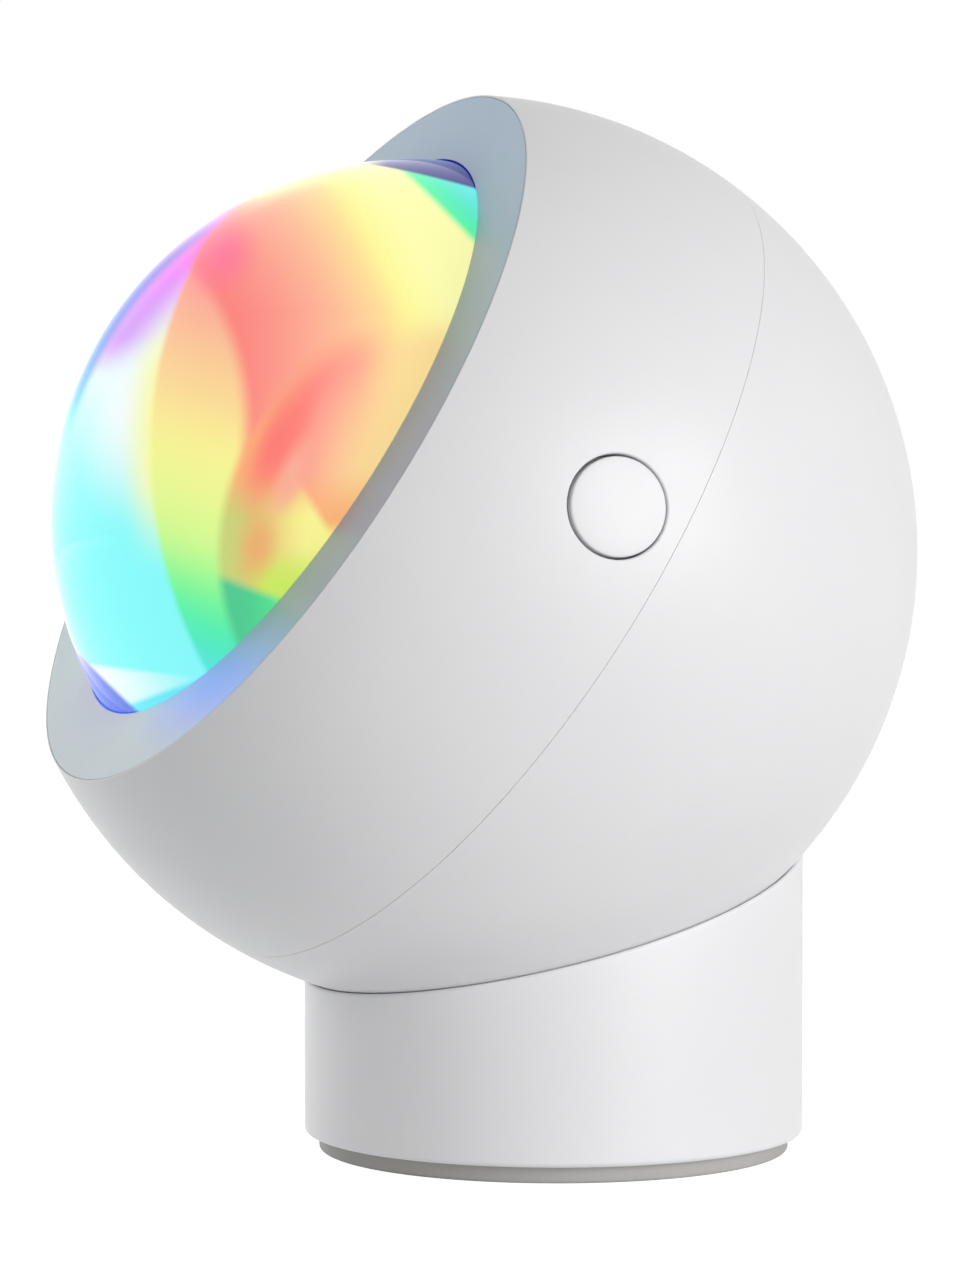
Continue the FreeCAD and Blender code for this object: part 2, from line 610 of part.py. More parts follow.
def led_emitter():
    """Square LED package with its domed phosphor window."""
    half = "led_side / 2"
    carrier = box("led_carrier", ("0 - " + half, "0 - " + half, LED_BOARD_TOP),
                  (half, half, TUBE_BACK))
    radius = "((led_side * 0.36)^2 + led_dome^2) / (2 * led_dome)"
    dome = ball("led_window_ball", radius, "0", "0", TUBE_BACK + " + led_dome - " + radius)
    above = box("led_window_room", ("0 - led_side", "0 - led_side", TUBE_BACK + " - 0.1"),
                ("led_side", "led_side", TUBE_BACK + " + led_dome + 1"))
    node(join("led_package", [carrier, shared("led_window", [dome, above])]), "led_emitter", HEAD)


def heat_sink():
    """Finned aluminium disc behind the LED board."""
    body = new_body("sink_body")
    half = "fin_length / 2"
    disc = profile_circle(body, "sink_round", "sink_radius", "0 - engine_back - sink_thick")
    doc.recompute()
    plate = body.newObject("PartDesign::Pad", "sink_plate")
    plate.Profile = disc
    plate.setExpression("Length", bound("sink_thick"))
    doc.recompute()
    first = "0 - 3 * fin_pitch"
    fin_lines = profile(body, "fin_outline", "XY_Plane", [
        (first + " - fin_thick / 2", "0 - " + half),
        (first + " + fin_thick / 2", "0 - " + half),
        (first + " + fin_thick / 2", half),
        (first + " - fin_thick / 2", half),
    ], None, SINK_BACK + " - fin_depth")
    doc.recompute()
    fin = body.newObject("PartDesign::Pad", "sink_fin")
    fin.Profile = fin_lines
    fin.setExpression("Length", bound("fin_depth"))
    doc.recompute()
    row = body.newObject("PartDesign::LinearPattern", "sink_fins")
    row.Originals = [fin]
    row.Direction = (origin_plane(body, "X_Axis"), [""])
    row.setExpression("Length", bound("6 * fin_pitch"))
    row.Occurrences = 7
    body.Tip = row
    holes = [cylinder("sink_hole_%d" % i, SCREW_PASS, "sink_thick + 2",
                      "sink_screw_ring * cos(%d)" % angle, "sink_screw_ring * sin(%d)" % angle,
                      SINK_BACK + " - 1") for i, angle in enumerate((0, 120, 240))]
    node(less("heat_sink", body, join("sink_holes", holes)), "heat_sink", HEAD)


def profile_circle(body, name, radius, offset):
    sketch = body.newObject("Sketcher::SketchObject", name)
    sketch.AttachmentSupport = [(origin_plane(body, "XY_Plane"), "")]
    sketch.MapMode = "FlatFace"
    sketch.setExpression("AttachmentOffset.Base.z", bound(offset))
    circle = sketch.addGeometry(Part.Circle(V(0, 0, 0), V(0, 0, 1), value(radius)), False)
    sketch.addConstraint(Sketcher.Constraint("Coincident", circle, 3, -1, 1))
    number = sketch.addConstraint(Sketcher.Constraint("Radius", circle, value(radius)))
    sketch.setExpression("Constraints[%d]" % number, bound(radius))
    return sketch


# ------------------------------------------------------------- rear electrics

def main_board():
    """Charging and drive board, lying behind the seam on two pillars."""
    plate = box("main_plate", ("0 - " + MAIN_OUTER, "0 - main_half", MAIN_BACK),
                ("0 - " + MAIN_INNER, "main_half", "0 - main_top"))
    holes = [cylinder("main_hole_%d" % i, SCREW_PASS, "board_thick + 2", "0 - " + MAIN_SCREW_X,
                      "%d * main_screw_y" % side, MAIN_BACK + " - 1")
             for i, side in enumerate((-1, 1))]
    corners = shared("main_trim", [plate, ball("main_room", BALL_INNER + " - 0.3")])
    node(less("main_board", corners, join("main_holes", holes)), "main_board", HEAD)


def board_chips():
    """Charger chip, coil and capacitor soldered on the board."""
    top = "0 - main_top"
    edge = "0 - " + MAIN_OUTER + " + socket_length - socket_overhang + chip_side / 2"
    chip = box("charge_chip", (edge, "0 - chip_side / 2", top),
               (edge + " + chip_side", "chip_side / 2", top + " + chip_thick"))
    row = "0 - " + MAIN_INNER + " - coil_radius - 0.6"
    coil = cylinder("drive_coil", "coil_radius", "coil_height", row,
                    "0 - main_screw_y / 2 - 0.6", top)
    can = cylinder("store_can", "can_radius", "can_height", row, "main_screw_y / 2 + 0.4", top)
    node(group("board_parts", [chip, coil, can]), "board_chips", HEAD)


def usb_socket():
    """Charging socket: pressed steel shell round a flat tongue."""
    low = "0 - " + SOCKET_MOUTH
    high = low + " + socket_length"
    outer = rounded_bar("socket_outer", "socket_width", "socket_height", low, high, SOCKET_MIDDLE)
    inner = rounded_bar("socket_inner", "socket_width - 2 * socket_wall",
                        "socket_height - 2 * socket_wall", low + " - 1",
                        high + " - 2 * socket_wall", SOCKET_MIDDLE)
    can = less("socket_can", outer, inner)
    tongue = box("socket_tongue",
                 (low + " + 0.6", "0 - tongue_width / 2", SOCKET_MIDDLE + " - tongue_thick / 2"),
                 (high + " - socket_wall", "tongue_width / 2",
                  SOCKET_MIDDLE + " + tongue_thick / 2"))
    node(join("usb_socket", [can, tongue]), "usb_socket", HEAD)


def battery():
    """Flat rechargeable cell with rounded long edges."""
    back = "0 - cell_front - cell_thick"
    body = new_body("cell_body")
    w = "cell_width / 2"
    r = "cell_round"
    high = "0 - cell_front"
    outline = profile(body, "cell_outline", "XZ_Plane", [
        ("0 - %s + %s" % (w, r), back, "x"), ("%s - %s" % (w, r), back),
        (w, back + " + " + r, "y"), (w, high + " - " + r),
        ("%s - %s" % (w, r), high, "x"), ("0 - %s + %s" % (w, r), high),
        ("0 - " + w, high + " - " + r, "y"), ("0 - " + w, back + " + " + r),
    ], {1: ("%s - %s" % (w, r), back + " + " + r, 1), 3: ("%s - %s" % (w, r), high + " - " + r, 1),
        5: ("0 - %s + %s" % (w, r), high + " - " + r, 1),
        7: ("0 - %s + %s" % (w, r), back + " + " + r, 1)})
    doc.recompute()
    pad = body.newObject("PartDesign::Pad", "cell_pad")
    pad.Profile = outline
    pad.Midplane = True
    pad.setExpression("Length", bound("cell_height"))
    node(body, "battery", HEAD)


def battery_tray():
    """Plastic cover with two side walls and two screw ears that holds the cell."""
    side = "(cell_width / 2 + fit_gap)"
    half = "cell_height / 2"
    low = "0 - cell_front"
    parts = [box("tray_top", ("0 - %s - tray_wall" % side, "0 - " + half, low),
                 ("%s + tray_wall" % side, half, low + " + tray_thick"))]
    cuts = [box("tray_window", ("0 - cell_width / 4", "0 - cell_height / 4", low + " - 1"),
                ("cell_width / 4", "cell_height / 4", low + " + tray_thick + 1"))]
    for i, sign in enumerate((-1, 1)):
        near = "%d * %s" % (sign, side)
        far = "%d * (%s + tray_wall)" % (sign, side)
        edges = (far, near) if sign < 0 else (near, far)
        parts.append(box("tray_side_%d" % i, (edges[0], "0 - " + half, low + " - tray_depth"),
                         (edges[1], half, low)))
        x = "%d * %s" % (sign, TRAY_SCREW_X)
        y = "0 - tray_screw_y"
        reach = (x, near) if sign < 0 else (near, x)
        parts.append(box("tray_ear_%d" % i, (reach[0], y + " - boss_radius", low),
                         (reach[1], y + " + boss_radius", low + " + tray_thick")))
        parts.append(cylinder("tray_ear_end_%d" % i, "boss_radius", "tray_thick", x, y, low))
        cuts.append(cylinder("tray_hole_%d" % i, SCREW_PASS, "tray_thick + 2", x, y,
                             low + " - 1"))
    whole = join("tray_whole", parts)
    node(less("battery_tray", whole, join("tray_cuts", cuts)), "battery_tray", HEAD)


def lead(name, corners, bend):
    """One insulated wire: straight runs joined by tangent arcs."""
    points = [V(*[value(n) for n in corner]) for corner in corners]
    radius = value("lead_radius")
    edges = []
    start = points[0]
    for before, corner, after in zip(points, points[1:], points[2:]):
        into = (corner - before).normalize()
        out = (after - corner).normalize()
        half = into.getAngle(out) / 2
        back = bend * math.tan(half)
        first = corner - into * back
        last = corner + out * back
        inward = (out - into).normalize()
        centre = corner + inward * (bend / math.cos(half))
        middle = centre - inward * bend
        edges.append(Part.makeLine(start, first))
        edges.append(Part.Arc(first, middle, last).toShape())
        start = last
    edges.append(Part.makeLine(start, points[-1]))
    path = Part.Wire(edges)
    direction = points[1] - points[0]
    section = Part.Wire([Part.makeCircle(radius, points[0], direction)])
    solid = path.makePipeShell([section], True, False)
    length = sum(edge.Length for edge in edges)
    if abs(solid.Volume / (math.pi * radius ** 2 * length) - 1) > 0.01:
        raise RuntimeError(name + " does not fill its path")
    obj = doc.addObject("Part::Feature", name)
    obj.Shape = solid
    return obj


def led_leads():
    """Two wires from the board to the LED."""
    bend = value("lead_bend")
    run = LED_BOARD_TOP + " + lead_radius"
    wires = []
    for i, side in enumerate((-1, 1)):
        y = "%d * lead_pitch / 2" % side
        x = "0 - " + MAIN_INNER + " - lead_clear"
        wires.append(lead("led_lead_%d" % i, [
            (x, y, "0 - main_top"), (x, y, run), ("0 - tube_rear - tube_wall - 0.8", y, run)],
            bend))
    node(group("led_lead_pair", wires), "led_leads", HEAD)


def battery_leads():
    """Two wires from the end of the cell to the board."""
    bend = value("lead_bend")
    middle = "0 - cell_front - cell_thick * 0.85"
    wires = []
    for i in range(2):
        y = "boss_radius + lead_radius - tray_screw_y + 0.9 + %d * lead_pitch" % i
        x = "0 - " + MAIN_INNER + " - 2 * lead_clear"
        wires.append(lead("cell_lead_%d" % i, [
            ("0 - cell_width / 2", y, middle), (x, y, middle), (x, y, MAIN_BACK)], bend))
    node(group("cell_lead_pair", wires), "battery_leads", HEAD)


def switch_leads():
    """Two wires from the board, round the heat sink, to the switch board."""
    bend = value("lead_bend")
    turn = FreeCAD.Rotation(V(0, 0, 1), value("button_lift"))
    turn = turn.multiply(FreeCAD.Rotation(V(0, 1, 0), 90 - value("button_ahead")))
    away = value("sink_radius + 2 * lead_clear")
    wires = []
    for i in range(2):
        shift = i * value("lead_pitch")
        level = value("lead_clear - main_top") + shift
        x = value("0 - " + MAIN_INNER + " - lead_clear") - shift
        y = value("main_half - lead_radius - 0.6")
        side = value("boss_radius") + shift
        end = turn.multVec(V(0, side, value(SWITCH_BOARD_BACK)))
        ahead = turn.multVec(V(0, side, value(SWITCH_BOARD_BACK) - 2.5 * bend))
        wires.append(lead("switch_lead_%d" % i, [
            (x, y, value("0 - main_top")), (x, y, level), (x, away, level),
            (away, away, level), tuple(ahead), tuple(end)], bend * 0.6))
    node(group("switch_lead_pair", wires), "switch_leads", HEAD)


# ------------------------------------------------------------ button, switch

def button_cap():
    """Round white push cap, flush with the ball, with a stop rim and stem."""
    edge = "sqrt(ball_radius^2 - (button_radius - button_round)^2)"
    points = [
        ("0", STEM_END),
        ("stem_radius", STEM_END),
        ("stem_radius", RIM_BACK),
        ("button_radius + button_rim", RIM_BACK),
        ("button_radius + button_rim", RIM_TOP),
        ("button_radius", RIM_TOP),
        ("button_radius", edge + " - button_round"),
        ("button_radius - button_round", edge),
        ("0", "ball_radius", "x"),
    ]
    node(turned("button_turned", points, {7: ("0", "0", 1)}), "button_cap", BUTTON)


def switch_plunger():
    """The switch's own short pin that the cap rests on."""
    pin = cylinder("plunger_pin", "plunger_radius", "plunger_length")
    spot = " * placement(vector(0; 0; %s - plunger_length); rotation(vector(0; 0; 1); 0))"
    node(pin, "switch_plunger", BUTTON + spot % STEM_END)


def switch_body():
    """Square push switch with the bore its pin slides in."""
    half = "switch_side / 2"
    block = box("switch_block", ("0 - " + half, "0 - " + half, SWITCH_BACK),
                (half, half, SWITCH_TOP))
    depth = "(plunger_length - plunger_out + switch_travel + switch_floor)"
    bore = cylinder("switch_bore", "plunger_radius + plunger_gap", depth + " + 1", "0", "0",
                    SWITCH_TOP + " - " + depth)
    node(less("switch_body", block, bore), "switch_body", BUTTON)


def switch_board():
    """Small board that carries the switch in the cradle grooves."""
    front = "0 - cradle_front + cradle_stop + fit_gap"
    plate = box("switch_plate", (front, "0 - " + CRADLE_BITE, SWITCH_BOARD_BACK),
                ("cradle_rear", CRADLE_BITE, SWITCH_BACK))
    node(plate, "switch_board", BUTTON + " * placement(vector(" + front + "; 0 - "
         + CRADLE_BITE + "; " + SWITCH_BOARD_BACK + "); rotation(vector(0; 0; 1); 0))")


# ------------------------------------------------------------------ fasteners

def pan_screw(name, x, y, seat, up):
    """One small pan-head screw whose head rests on the plane z = seat."""
    turn = "0" if up else "180"
    frame = "placement(vector(%s; %s; %s); rotation(vector(1; 0; 0); %s))" % (x, y, seat, turn)
    shank = cylinder(name + "_shank", "screw_radius", "screw_length")
    head = cone(name + "_head", "screw_head_radius * 0.8", "screw_head_radius", "screw_head",
                "0", "0", "0 - screw_head")
    recess = doc.addObject("Part::Prism", name + "_recess")
    recess.Polygon = 6
    bind(recess, Circumradius="screw_radius * 0.8", Height="screw_head * 0.6")
    place(recess, "0", "0", "0 - screw_head")
    solid = less(name, join(name + "_blank", [shank, head]), recess)
    solid.setExpression("Placement", bound(frame))
    return solid


def head_screws():
    """Ten alike screws in the ball: tube, heat sink, board and tray."""
    screws = []
    for i, angle in enumerate((60, 180, 300)):
        screws.append(pan_screw("tube_screw_%d" % i, TUBE_SCREW_RING + " * cos(%d)" % angle,
                                TUBE_SCREW_RING + " * sin(%d)" % angle,
                                "arm_front - arm_thick", True))
    for i, angle in enumerate((0, 120, 240)):
        screws.append(pan_screw("sink_screw_%d" % i, "sink_screw_ring * cos(%d)" % angle,
                                "sink_screw_ring * sin(%d)" % angle, SINK_BACK, True))
    for i, side in enumerate((-1, 1)):
        screws.append(pan_screw("main_screw_%d" % i, "0 - " + MAIN_SCREW_X,
                                "%d * main_screw_y" % side, "0 - main_top", False))
        screws.append(pan_screw("tray_screw_%d" % i, "%d * %s" % (side, TRAY_SCREW_X),
                                "0 - tray_screw_y", "0 - cell_front + tray_thick", False))
    node(group("head_screw_set", screws), "head_screws", HEAD)


# ----------------------------------------------------------------------- base

BOSS_ANGLES = (90, 210, 330)


def base_spots():
    return [(BASE_SCREW_RING + " * cos(%d)" % a, BASE_SCREW_RING + " * sin(%d)" % a)
            for a in BOSS_ANGLES]


def base_shell():
    """White round base: spherical cup, magnet well, ring groove and screw bosses."""
    points = [
        ("0", "foot_height"),
        ("base_radius - base_edge", "foot_height"),
        ("base_radius", "foot_height + base_edge"),
        ("base_radius", BALL_HEIGHT),
        ("0", BALL_HEIGHT),
    ]
    blank = turned("base_blank", points)
    seat = ball("base_seat", SEAT_RADIUS, "0", "0 - ball_forward", BALL_HEIGHT)
    ceiling = ball("base_ceiling", SEAT_RADIUS + " + cup_floor", "0", "0 - ball_forward",
                   BALL_HEIGHT)
    room = less("base_room", cylinder("base_bore", BASE_INNER, BALL_HEIGHT), ceiling)
    skin = less("base_skin", less("base_cupped", blank, seat), room)
    posts = [cylinder("base_boss_%d" % i, "base_boss_radius", BALL_HEIGHT + " / 2", x, y, PLATE_TOP)
             for i, (x, y) in enumerate(base_spots())]
    posts.append(cylinder("base_well", WELL_RADIUS,
                          BALL_HEIGHT + " / 3", "0", "0 - ball_forward", PLATE_TOP + " + fit_gap"))
    inside = ball("base_post_end", SEAT_RADIUS + " + cup_floor / 2", "0", "0 - ball_forward",
                  BALL_HEIGHT)
    posts = less("base_posts", join("base_post_set", posts), inside)
    whole = join("base_whole", [skin, posts])
    cuts = [cylinder("base_pilot_%d" % i, "base_screw_radius + thread_gap",
                     "base_screw_length - plate_thick + 1.4", x, y, PLATE_TOP + " - 1")
            for i, (x, y) in enumerate(base_spots())]
    cuts.append(cylinder("magnet_bore", "magnet_radius + magnet_gap", MAGNET_TOP, "0",
                         "0 - ball_forward", "0"))
    outer = cylinder("groove_outer", GROOVE_RADIUS + " + ring_width + 2 * ring_gap",
                     "ball_radius / 2", "0", "0 - ball_forward", GROOVE_FLOOR)
    inner = cylinder("groove_inner", GROOVE_RADIUS, "ball_radius", "0", "0 - ball_forward",
                     "0")
    cuts.append(less("ring_groove", outer, inner))
    rough = less("base_rough", whole, join("base_cuts", cuts))
    doc.recompute()
    node(soften_lip(rough), "base_shell")


def soften_lip(rough):
    """Round the outer lip where the cup meets the wall."""
    centre = V(0, -value("ball_forward"), value(BALL_HEIGHT))
    reach = value(SEAT_RADIUS)
    picked = []
    for i, edge in enumerate(rough.Shape.Edges, 1):
        spots = [edge.valueAt(t) for t in
                 (edge.FirstParameter, (edge.FirstParameter + edge.LastParameter) / 2)]
        on_wall = all(abs(math.hypot(p.x, p.y) - value("base_radius")) < 0.01 for p in spots)
        on_cup = all(abs((p - centre).Length - reach) < 0.01 for p in spots)
        if on_wall and on_cup:
            picked.append(i)
    lip = doc.addObject("Part::Fillet", "base_softened")
    lip.Base = rough
    size = value("base_edge")
    lip.Edges = [(i, size, size) for i in picked]
    return lip


def glide_ring():
    """Slippery ring in the cup's groove that the ball rides and turns on."""
    outer = cylinder("ring_outer", RING_INNER + " + ring_width", "ball_radius / 4", "0",
                     "0 - ball_forward", GROOVE_FLOOR + " + ring_gap")
    inner = cylinder("ring_bore", RING_INNER, "ball_radius", "0", "0 - ball_forward", "0")
    top = ball("ring_top", "ball_radius + ring_gap", "0", "0 - ball_forward", BALL_HEIGHT)
    node(less("ring_cut", less("ring_tube", outer, inner), top), "glide_ring")


def magnet():
    """Disc magnet close under the cup."""
    node(cylinder("magnet_disc", "magnet_radius", "magnet_thick", "0", "0 - ball_forward",
                  MAGNET_TOP + " - magnet_thick"), "magnet")


def magnet_clip():
    """Plastic sleeve that stands on the bottom plate and holds the magnet up."""
    outer = cylinder("clip_outer", "magnet_radius", "clip_height", "0", "0 - ball_forward", PLATE_TOP)
    inner = cylinder("clip_inner", "magnet_radius - clip_wall", "clip_height", "0",
                     "0 - ball_forward", PLATE_TOP + " + clip_wall / 2")
    node(less("clip_cup", outer, inner), "magnet_clip")


def ballast_weight():
    """Cast steel crescent behind the magnet well, ending at the two front bosses."""
    disc = cylinder("ballast_disc", BASE_INNER + " - ballast_gap", "ballast_thick",
                    "0", "0", PLATE_TOP)
    cuts = [cylinder("ballast_hole_%d" % i, "base_boss_radius + ballast_gap",
                     "ballast_thick + 2", x, y, PLATE_TOP + " - 1")
            for i, (x, y) in enumerate(base_spots())]
    cuts.append(cylinder("ballast_well", WELL_RADIUS + " + ballast_gap",
                         "ballast_thick + 2", "0", "0 - ball_forward", PLATE_TOP + " - 1"))
    cuts.append(box("ballast_mouth", ("0 - base_radius", "0 - base_radius", "0"),
                    ("base_radius", "0 - " + BASE_SCREW_RING + " * sin(30)", BALL_HEIGHT)))
    node(less("ballast_cut", disc, join("ballast_holes", cuts)), "ballast_weight")


def bottom_plate():
    """Plate that closes the base, with three countersunk screw holes."""
    disc = cylinder("plate_disc", BASE_INNER + " - plate_gap", "plate_thick", "0",
                    "0", "foot_height")
    cuts = []
    for i, (x, y) in enumerate(base_spots()):
        cuts.append(cylinder("plate_hole_%d" % i, "base_screw_radius + pass_gap",
                             "plate_thick + 2", x, y, "foot_height - 1"))
        cuts.append(cone("plate_sink_%d" % i, "base_screw_head + pass_gap",
                         "base_screw_radius + pass_gap", "base_screw_head - base_screw_radius",
                         x, y, "foot_height"))
    node(less("plate_cut", disc, join("plate_cuts", cuts)), "bottom_plate")


def foot_pad():
    """Grey non-slip disc under the lamp."""
    points = [
        ("0", "0"), ("foot_radius - foot_edge", "0"), ("foot_radius", "foot_edge"),
        ("foot_radius", "foot_height"), ("0", "foot_height"),
    ]
    node(turned("pad_disc", points), "foot_pad")


def base_screws():
    """Three countersunk screws through the bottom plate."""
    screws = []
    for i, (x, y) in enumerate(base_spots()):
        name = "base_screw_%d" % i
        taper = "(base_screw_head - base_screw_radius)"
        shank = cylinder(name + "_shank", "base_screw_radius", "base_screw_length", x, y,
                         "foot_height")
        head = cone(name + "_head", "base_screw_head", "base_screw_radius", taper, x, y,
                    "foot_height")
        recess = doc.addObject("Part::Prism", name + "_recess")
        recess.Polygon = 6
        bind(recess, Circumradius="base_screw_radius * 0.8", Height=taper)
        place(recess, x, y, "foot_height")
        screws.append(less(name, join(name + "_blank", [shank, head]), recess))
    node(group("base_screw_set", screws), "base_screws")


for build in (front_shell, rear_shell, steel_cap, lens_bezel, lens, lens_gasket,
              dichroic_filter, light_tube, led_board, led_emitter, heat_sink, main_board,
              board_chips, usb_socket, battery, battery_tray, led_leads, battery_leads,
              switch_leads, button_cap, switch_plunger, switch_body, switch_board,
              head_screws, base_shell, glide_ring, magnet, magnet_clip, ballast_weight,
              bottom_plate, foot_pad, base_screws):
    build()
doc.recompute()

problems = []
for obj in doc.Objects:
    if any(word in ("Invalid", "Error") for word in obj.State):
        problems.append(obj.Name + " " + str(obj.State))
for obj in NODES:
    shape = obj.Shape
    if shape.isNull() or not shape.Solids or not shape.isValid():
        problems.append(obj.Label + " has no sound solid")
if problems:
    raise RuntimeError("; ".join(problems))
for obj in NODES:
    obj.Shape.exportStep("parts/%s.step" % obj.Label)
    centre = obj.Shape.BoundBox.Center
    print("%-16s solids %2d volume %9.1f centre %6.1f %6.1f %6.1f" % (
        obj.Label, len(obj.Shape.Solids), obj.Shape.Volume, centre.x, centre.y, centre.z))
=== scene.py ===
import bmesh
import bpy
import math
from mathutils import Matrix, Vector


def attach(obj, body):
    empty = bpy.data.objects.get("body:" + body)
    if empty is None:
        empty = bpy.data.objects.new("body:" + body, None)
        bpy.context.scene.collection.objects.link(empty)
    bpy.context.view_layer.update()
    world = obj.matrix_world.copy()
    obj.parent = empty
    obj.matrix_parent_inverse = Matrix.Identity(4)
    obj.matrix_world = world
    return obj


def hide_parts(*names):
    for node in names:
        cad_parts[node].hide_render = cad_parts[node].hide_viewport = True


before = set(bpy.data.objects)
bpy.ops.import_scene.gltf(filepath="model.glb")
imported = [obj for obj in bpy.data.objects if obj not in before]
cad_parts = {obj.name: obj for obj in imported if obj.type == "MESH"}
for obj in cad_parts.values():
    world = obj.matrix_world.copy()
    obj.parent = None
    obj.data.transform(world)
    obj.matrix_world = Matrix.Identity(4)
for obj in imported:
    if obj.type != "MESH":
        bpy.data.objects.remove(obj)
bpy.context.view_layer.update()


# ------------------------------------------------------------------ foot pad
# A disc of grey foam rubber stuck under the base so that it doesn't slide.
# It is die-cut: its edge is a little rounded and its skin has an even grain.

MM = 0.001
PAD_RADIUS = 20.9 * MM
PAD_HEIGHT = 1.5 * MM
PAD_EDGE = 0.3 * MM
PAD_GREY = (184, 183, 181)
PAD_SHADE = (174, 173, 171)
TURN_STEPS = 192
WELD = 0.0002 * MM
ON_AXIS = 0.0001 * MM
SHARP_TURN = math.radians(40)
PATCHES = 90
GLOSS_SPREAD = 0.15


def arc(middle, radius, start, end, steps=8):
    """Points of an arc in the half plane of radius and height, in degrees."""
    turns = [math.radians(start + (end - start) * i / steps) for i in range(steps + 1)]
    return [(middle[0] + radius * math.cos(t), middle[1] + radius * math.sin(t)) for t in turns]


def settle(obj):
    """Turn a piece and its modifiers into one plain mesh."""
    graph = bpy.context.evaluated_depsgraph_get()
    solid = bpy.data.meshes.new_from_object(obj.evaluated_get(graph))
    obj.modifiers.clear()
    obj.data = solid


def coat(obj, finish):
    """Give a piece one finish all over."""
    obj.data.materials.clear()
    obj.data.materials.append(finish)


def add(tree, kind, inputs=None, **settings):
    """A new node with its settings and its inputs, which are numbers or sockets."""
    node = tree.nodes.new(kind)
    for key, setting in settings.items():
        setattr(node, key, setting)
    for key, given in (inputs or {}).items():
        if isinstance(given, bpy.types.NodeSocket):
            tree.links.new(given, node.inputs[key])
        else:
            node.inputs[key].default_value = given
    return node


def sum_of(tree, kind, first, second):
    """One step of arithmetic in a node tree."""
    return add(tree, "ShaderNodeMath", {0: first, 1: second}, operation=kind).outputs["Value"]


def lathe_tree():
    """Geometry nodes that sweep a half outline round the z axis into a closed skin.

    A grid has a row for each step round and a column for each point of the outline.
    """
    tree = bpy.data.node_groups.new("lathe", "GeometryNodeTree")
    door = tree.interface
    door.new_socket("Outline", in_out="INPUT", socket_type="NodeSocketGeometry")
    door.new_socket("Steps", in_out="INPUT", socket_type="NodeSocketInt")
    door.new_socket("Weld", in_out="INPUT", socket_type="NodeSocketFloat")
    door.new_socket("Finish", in_out="INPUT", socket_type="NodeSocketMaterial")
    door.new_socket("Solid", in_out="OUTPUT", socket_type="NodeSocketGeometry")
    given = add(tree, "NodeGroupInput").outputs
    size = add(tree, "GeometryNodeAttributeDomainSize", {"Geometry": given["Outline"]})
    spots = size.outputs["Point Count"]
    rings = sum_of(tree, "ADD", given["Steps"], 1)
    sheet = add(tree, "GeometryNodeMeshGrid", {"Vertices X": rings, "Vertices Y": spots})
    index = add(tree, "GeometryNodeInputIndex").outputs["Index"]
    ring = sum_of(tree, "FLOOR", sum_of(tree, "DIVIDE", sum_of(tree, "ADD", index, 0.5), spots), 0)
    spot = sum_of(tree, "SUBTRACT", index, sum_of(tree, "MULTIPLY", ring, spots))
    place = add(tree, "GeometryNodeInputPosition").outputs["Position"]
    sample = add(tree, "GeometryNodeSampleIndex", {"Geometry": given["Outline"], "Index": spot},
                 data_type="FLOAT_VECTOR", domain="POINT")
    tree.links.new(place, next(k for k in sample.inputs if k.name == "Value" and k.enabled))
    turn = sum_of(tree, "DIVIDE", sum_of(tree, "MULTIPLY", ring, 2 * math.pi), given["Steps"])
    outline = next(k for k in sample.outputs if k.enabled)
    swung = add(tree, "ShaderNodeVectorRotate", {"Vector": outline, "Angle": turn},
                rotation_type="Z_AXIS")
    skin = add(tree, "GeometryNodeSetPosition", {"Geometry": sheet.outputs["Mesh"],
                                                 "Position": swung.outputs["Vector"]})
    welded = add(tree, "GeometryNodeMergeByDistance", {"Geometry": skin.outputs["Geometry"],
                                                       "Distance": given["Weld"]})
    plain = add(tree, "GeometryNodeRealizeInstances", {"Geometry": welded.outputs["Geometry"]})
    coated = add(tree, "GeometryNodeSetMaterial", {"Geometry": plain.outputs["Geometry"],
                                                   "Material": given["Finish"]})
    add(tree, "NodeGroupOutput", {"Solid": coated.outputs["Geometry"]})
    return tree


lathe = lathe_tree()


def turned(name, outline, stand=Matrix.Identity(4), steps=TURN_STEPS, finish=None):
    """A closed solid turned from a half outline that runs bottom, outside, top."""
    on_axis = outline[0][0] < ON_AXIS and outline[-1][0] < ON_AXIS
    spots = outline if on_axis else outline + outline[:1]
    mesh = bpy.data.meshes.new(name)
    mesh.from_pydata([(r, 0, z) for r, z in spots],
                     [(i, i + 1) for i in range(len(spots) - 1)], [])
    obj = bpy.data.objects.new(name, mesh)
    bpy.context.scene.collection.objects.link(obj)
    spin = obj.modifiers.new("lathe", "NODES")
    spin.node_group = lathe
    given = {"Steps": steps, "Weld": WELD, "Finish": finish}
    for socket in lathe.interface.items_tree:
        if socket.name in given:
            spin[socket.identifier] = given[socket.name]
    settle(obj)
    coat(obj, finish)
    obj.data.transform(stand)
    obj.data.shade_smooth()
    obj.data.set_sharp_from_angle(angle=SHARP_TURN)
    return obj


def even_shading(obj):
    """Weigh the corner normals by face area, so that flats next to rounds stay flat."""
    weigh = obj.modifiers.new("even", "WEIGHTED_NORMAL")
    weigh.keep_sharp = True
    settle(obj)


def paint(red, green, blue):
    """A colour given as it shows on a screen, 0 to 255, for a shader socket."""
    def linear(c):
        c = c / 255
        return c / 12.92 if c <= 0.04045 else ((c + 0.055) / 1.055) ** 2.4
    return (linear(red), linear(green), linear(blue), 1)


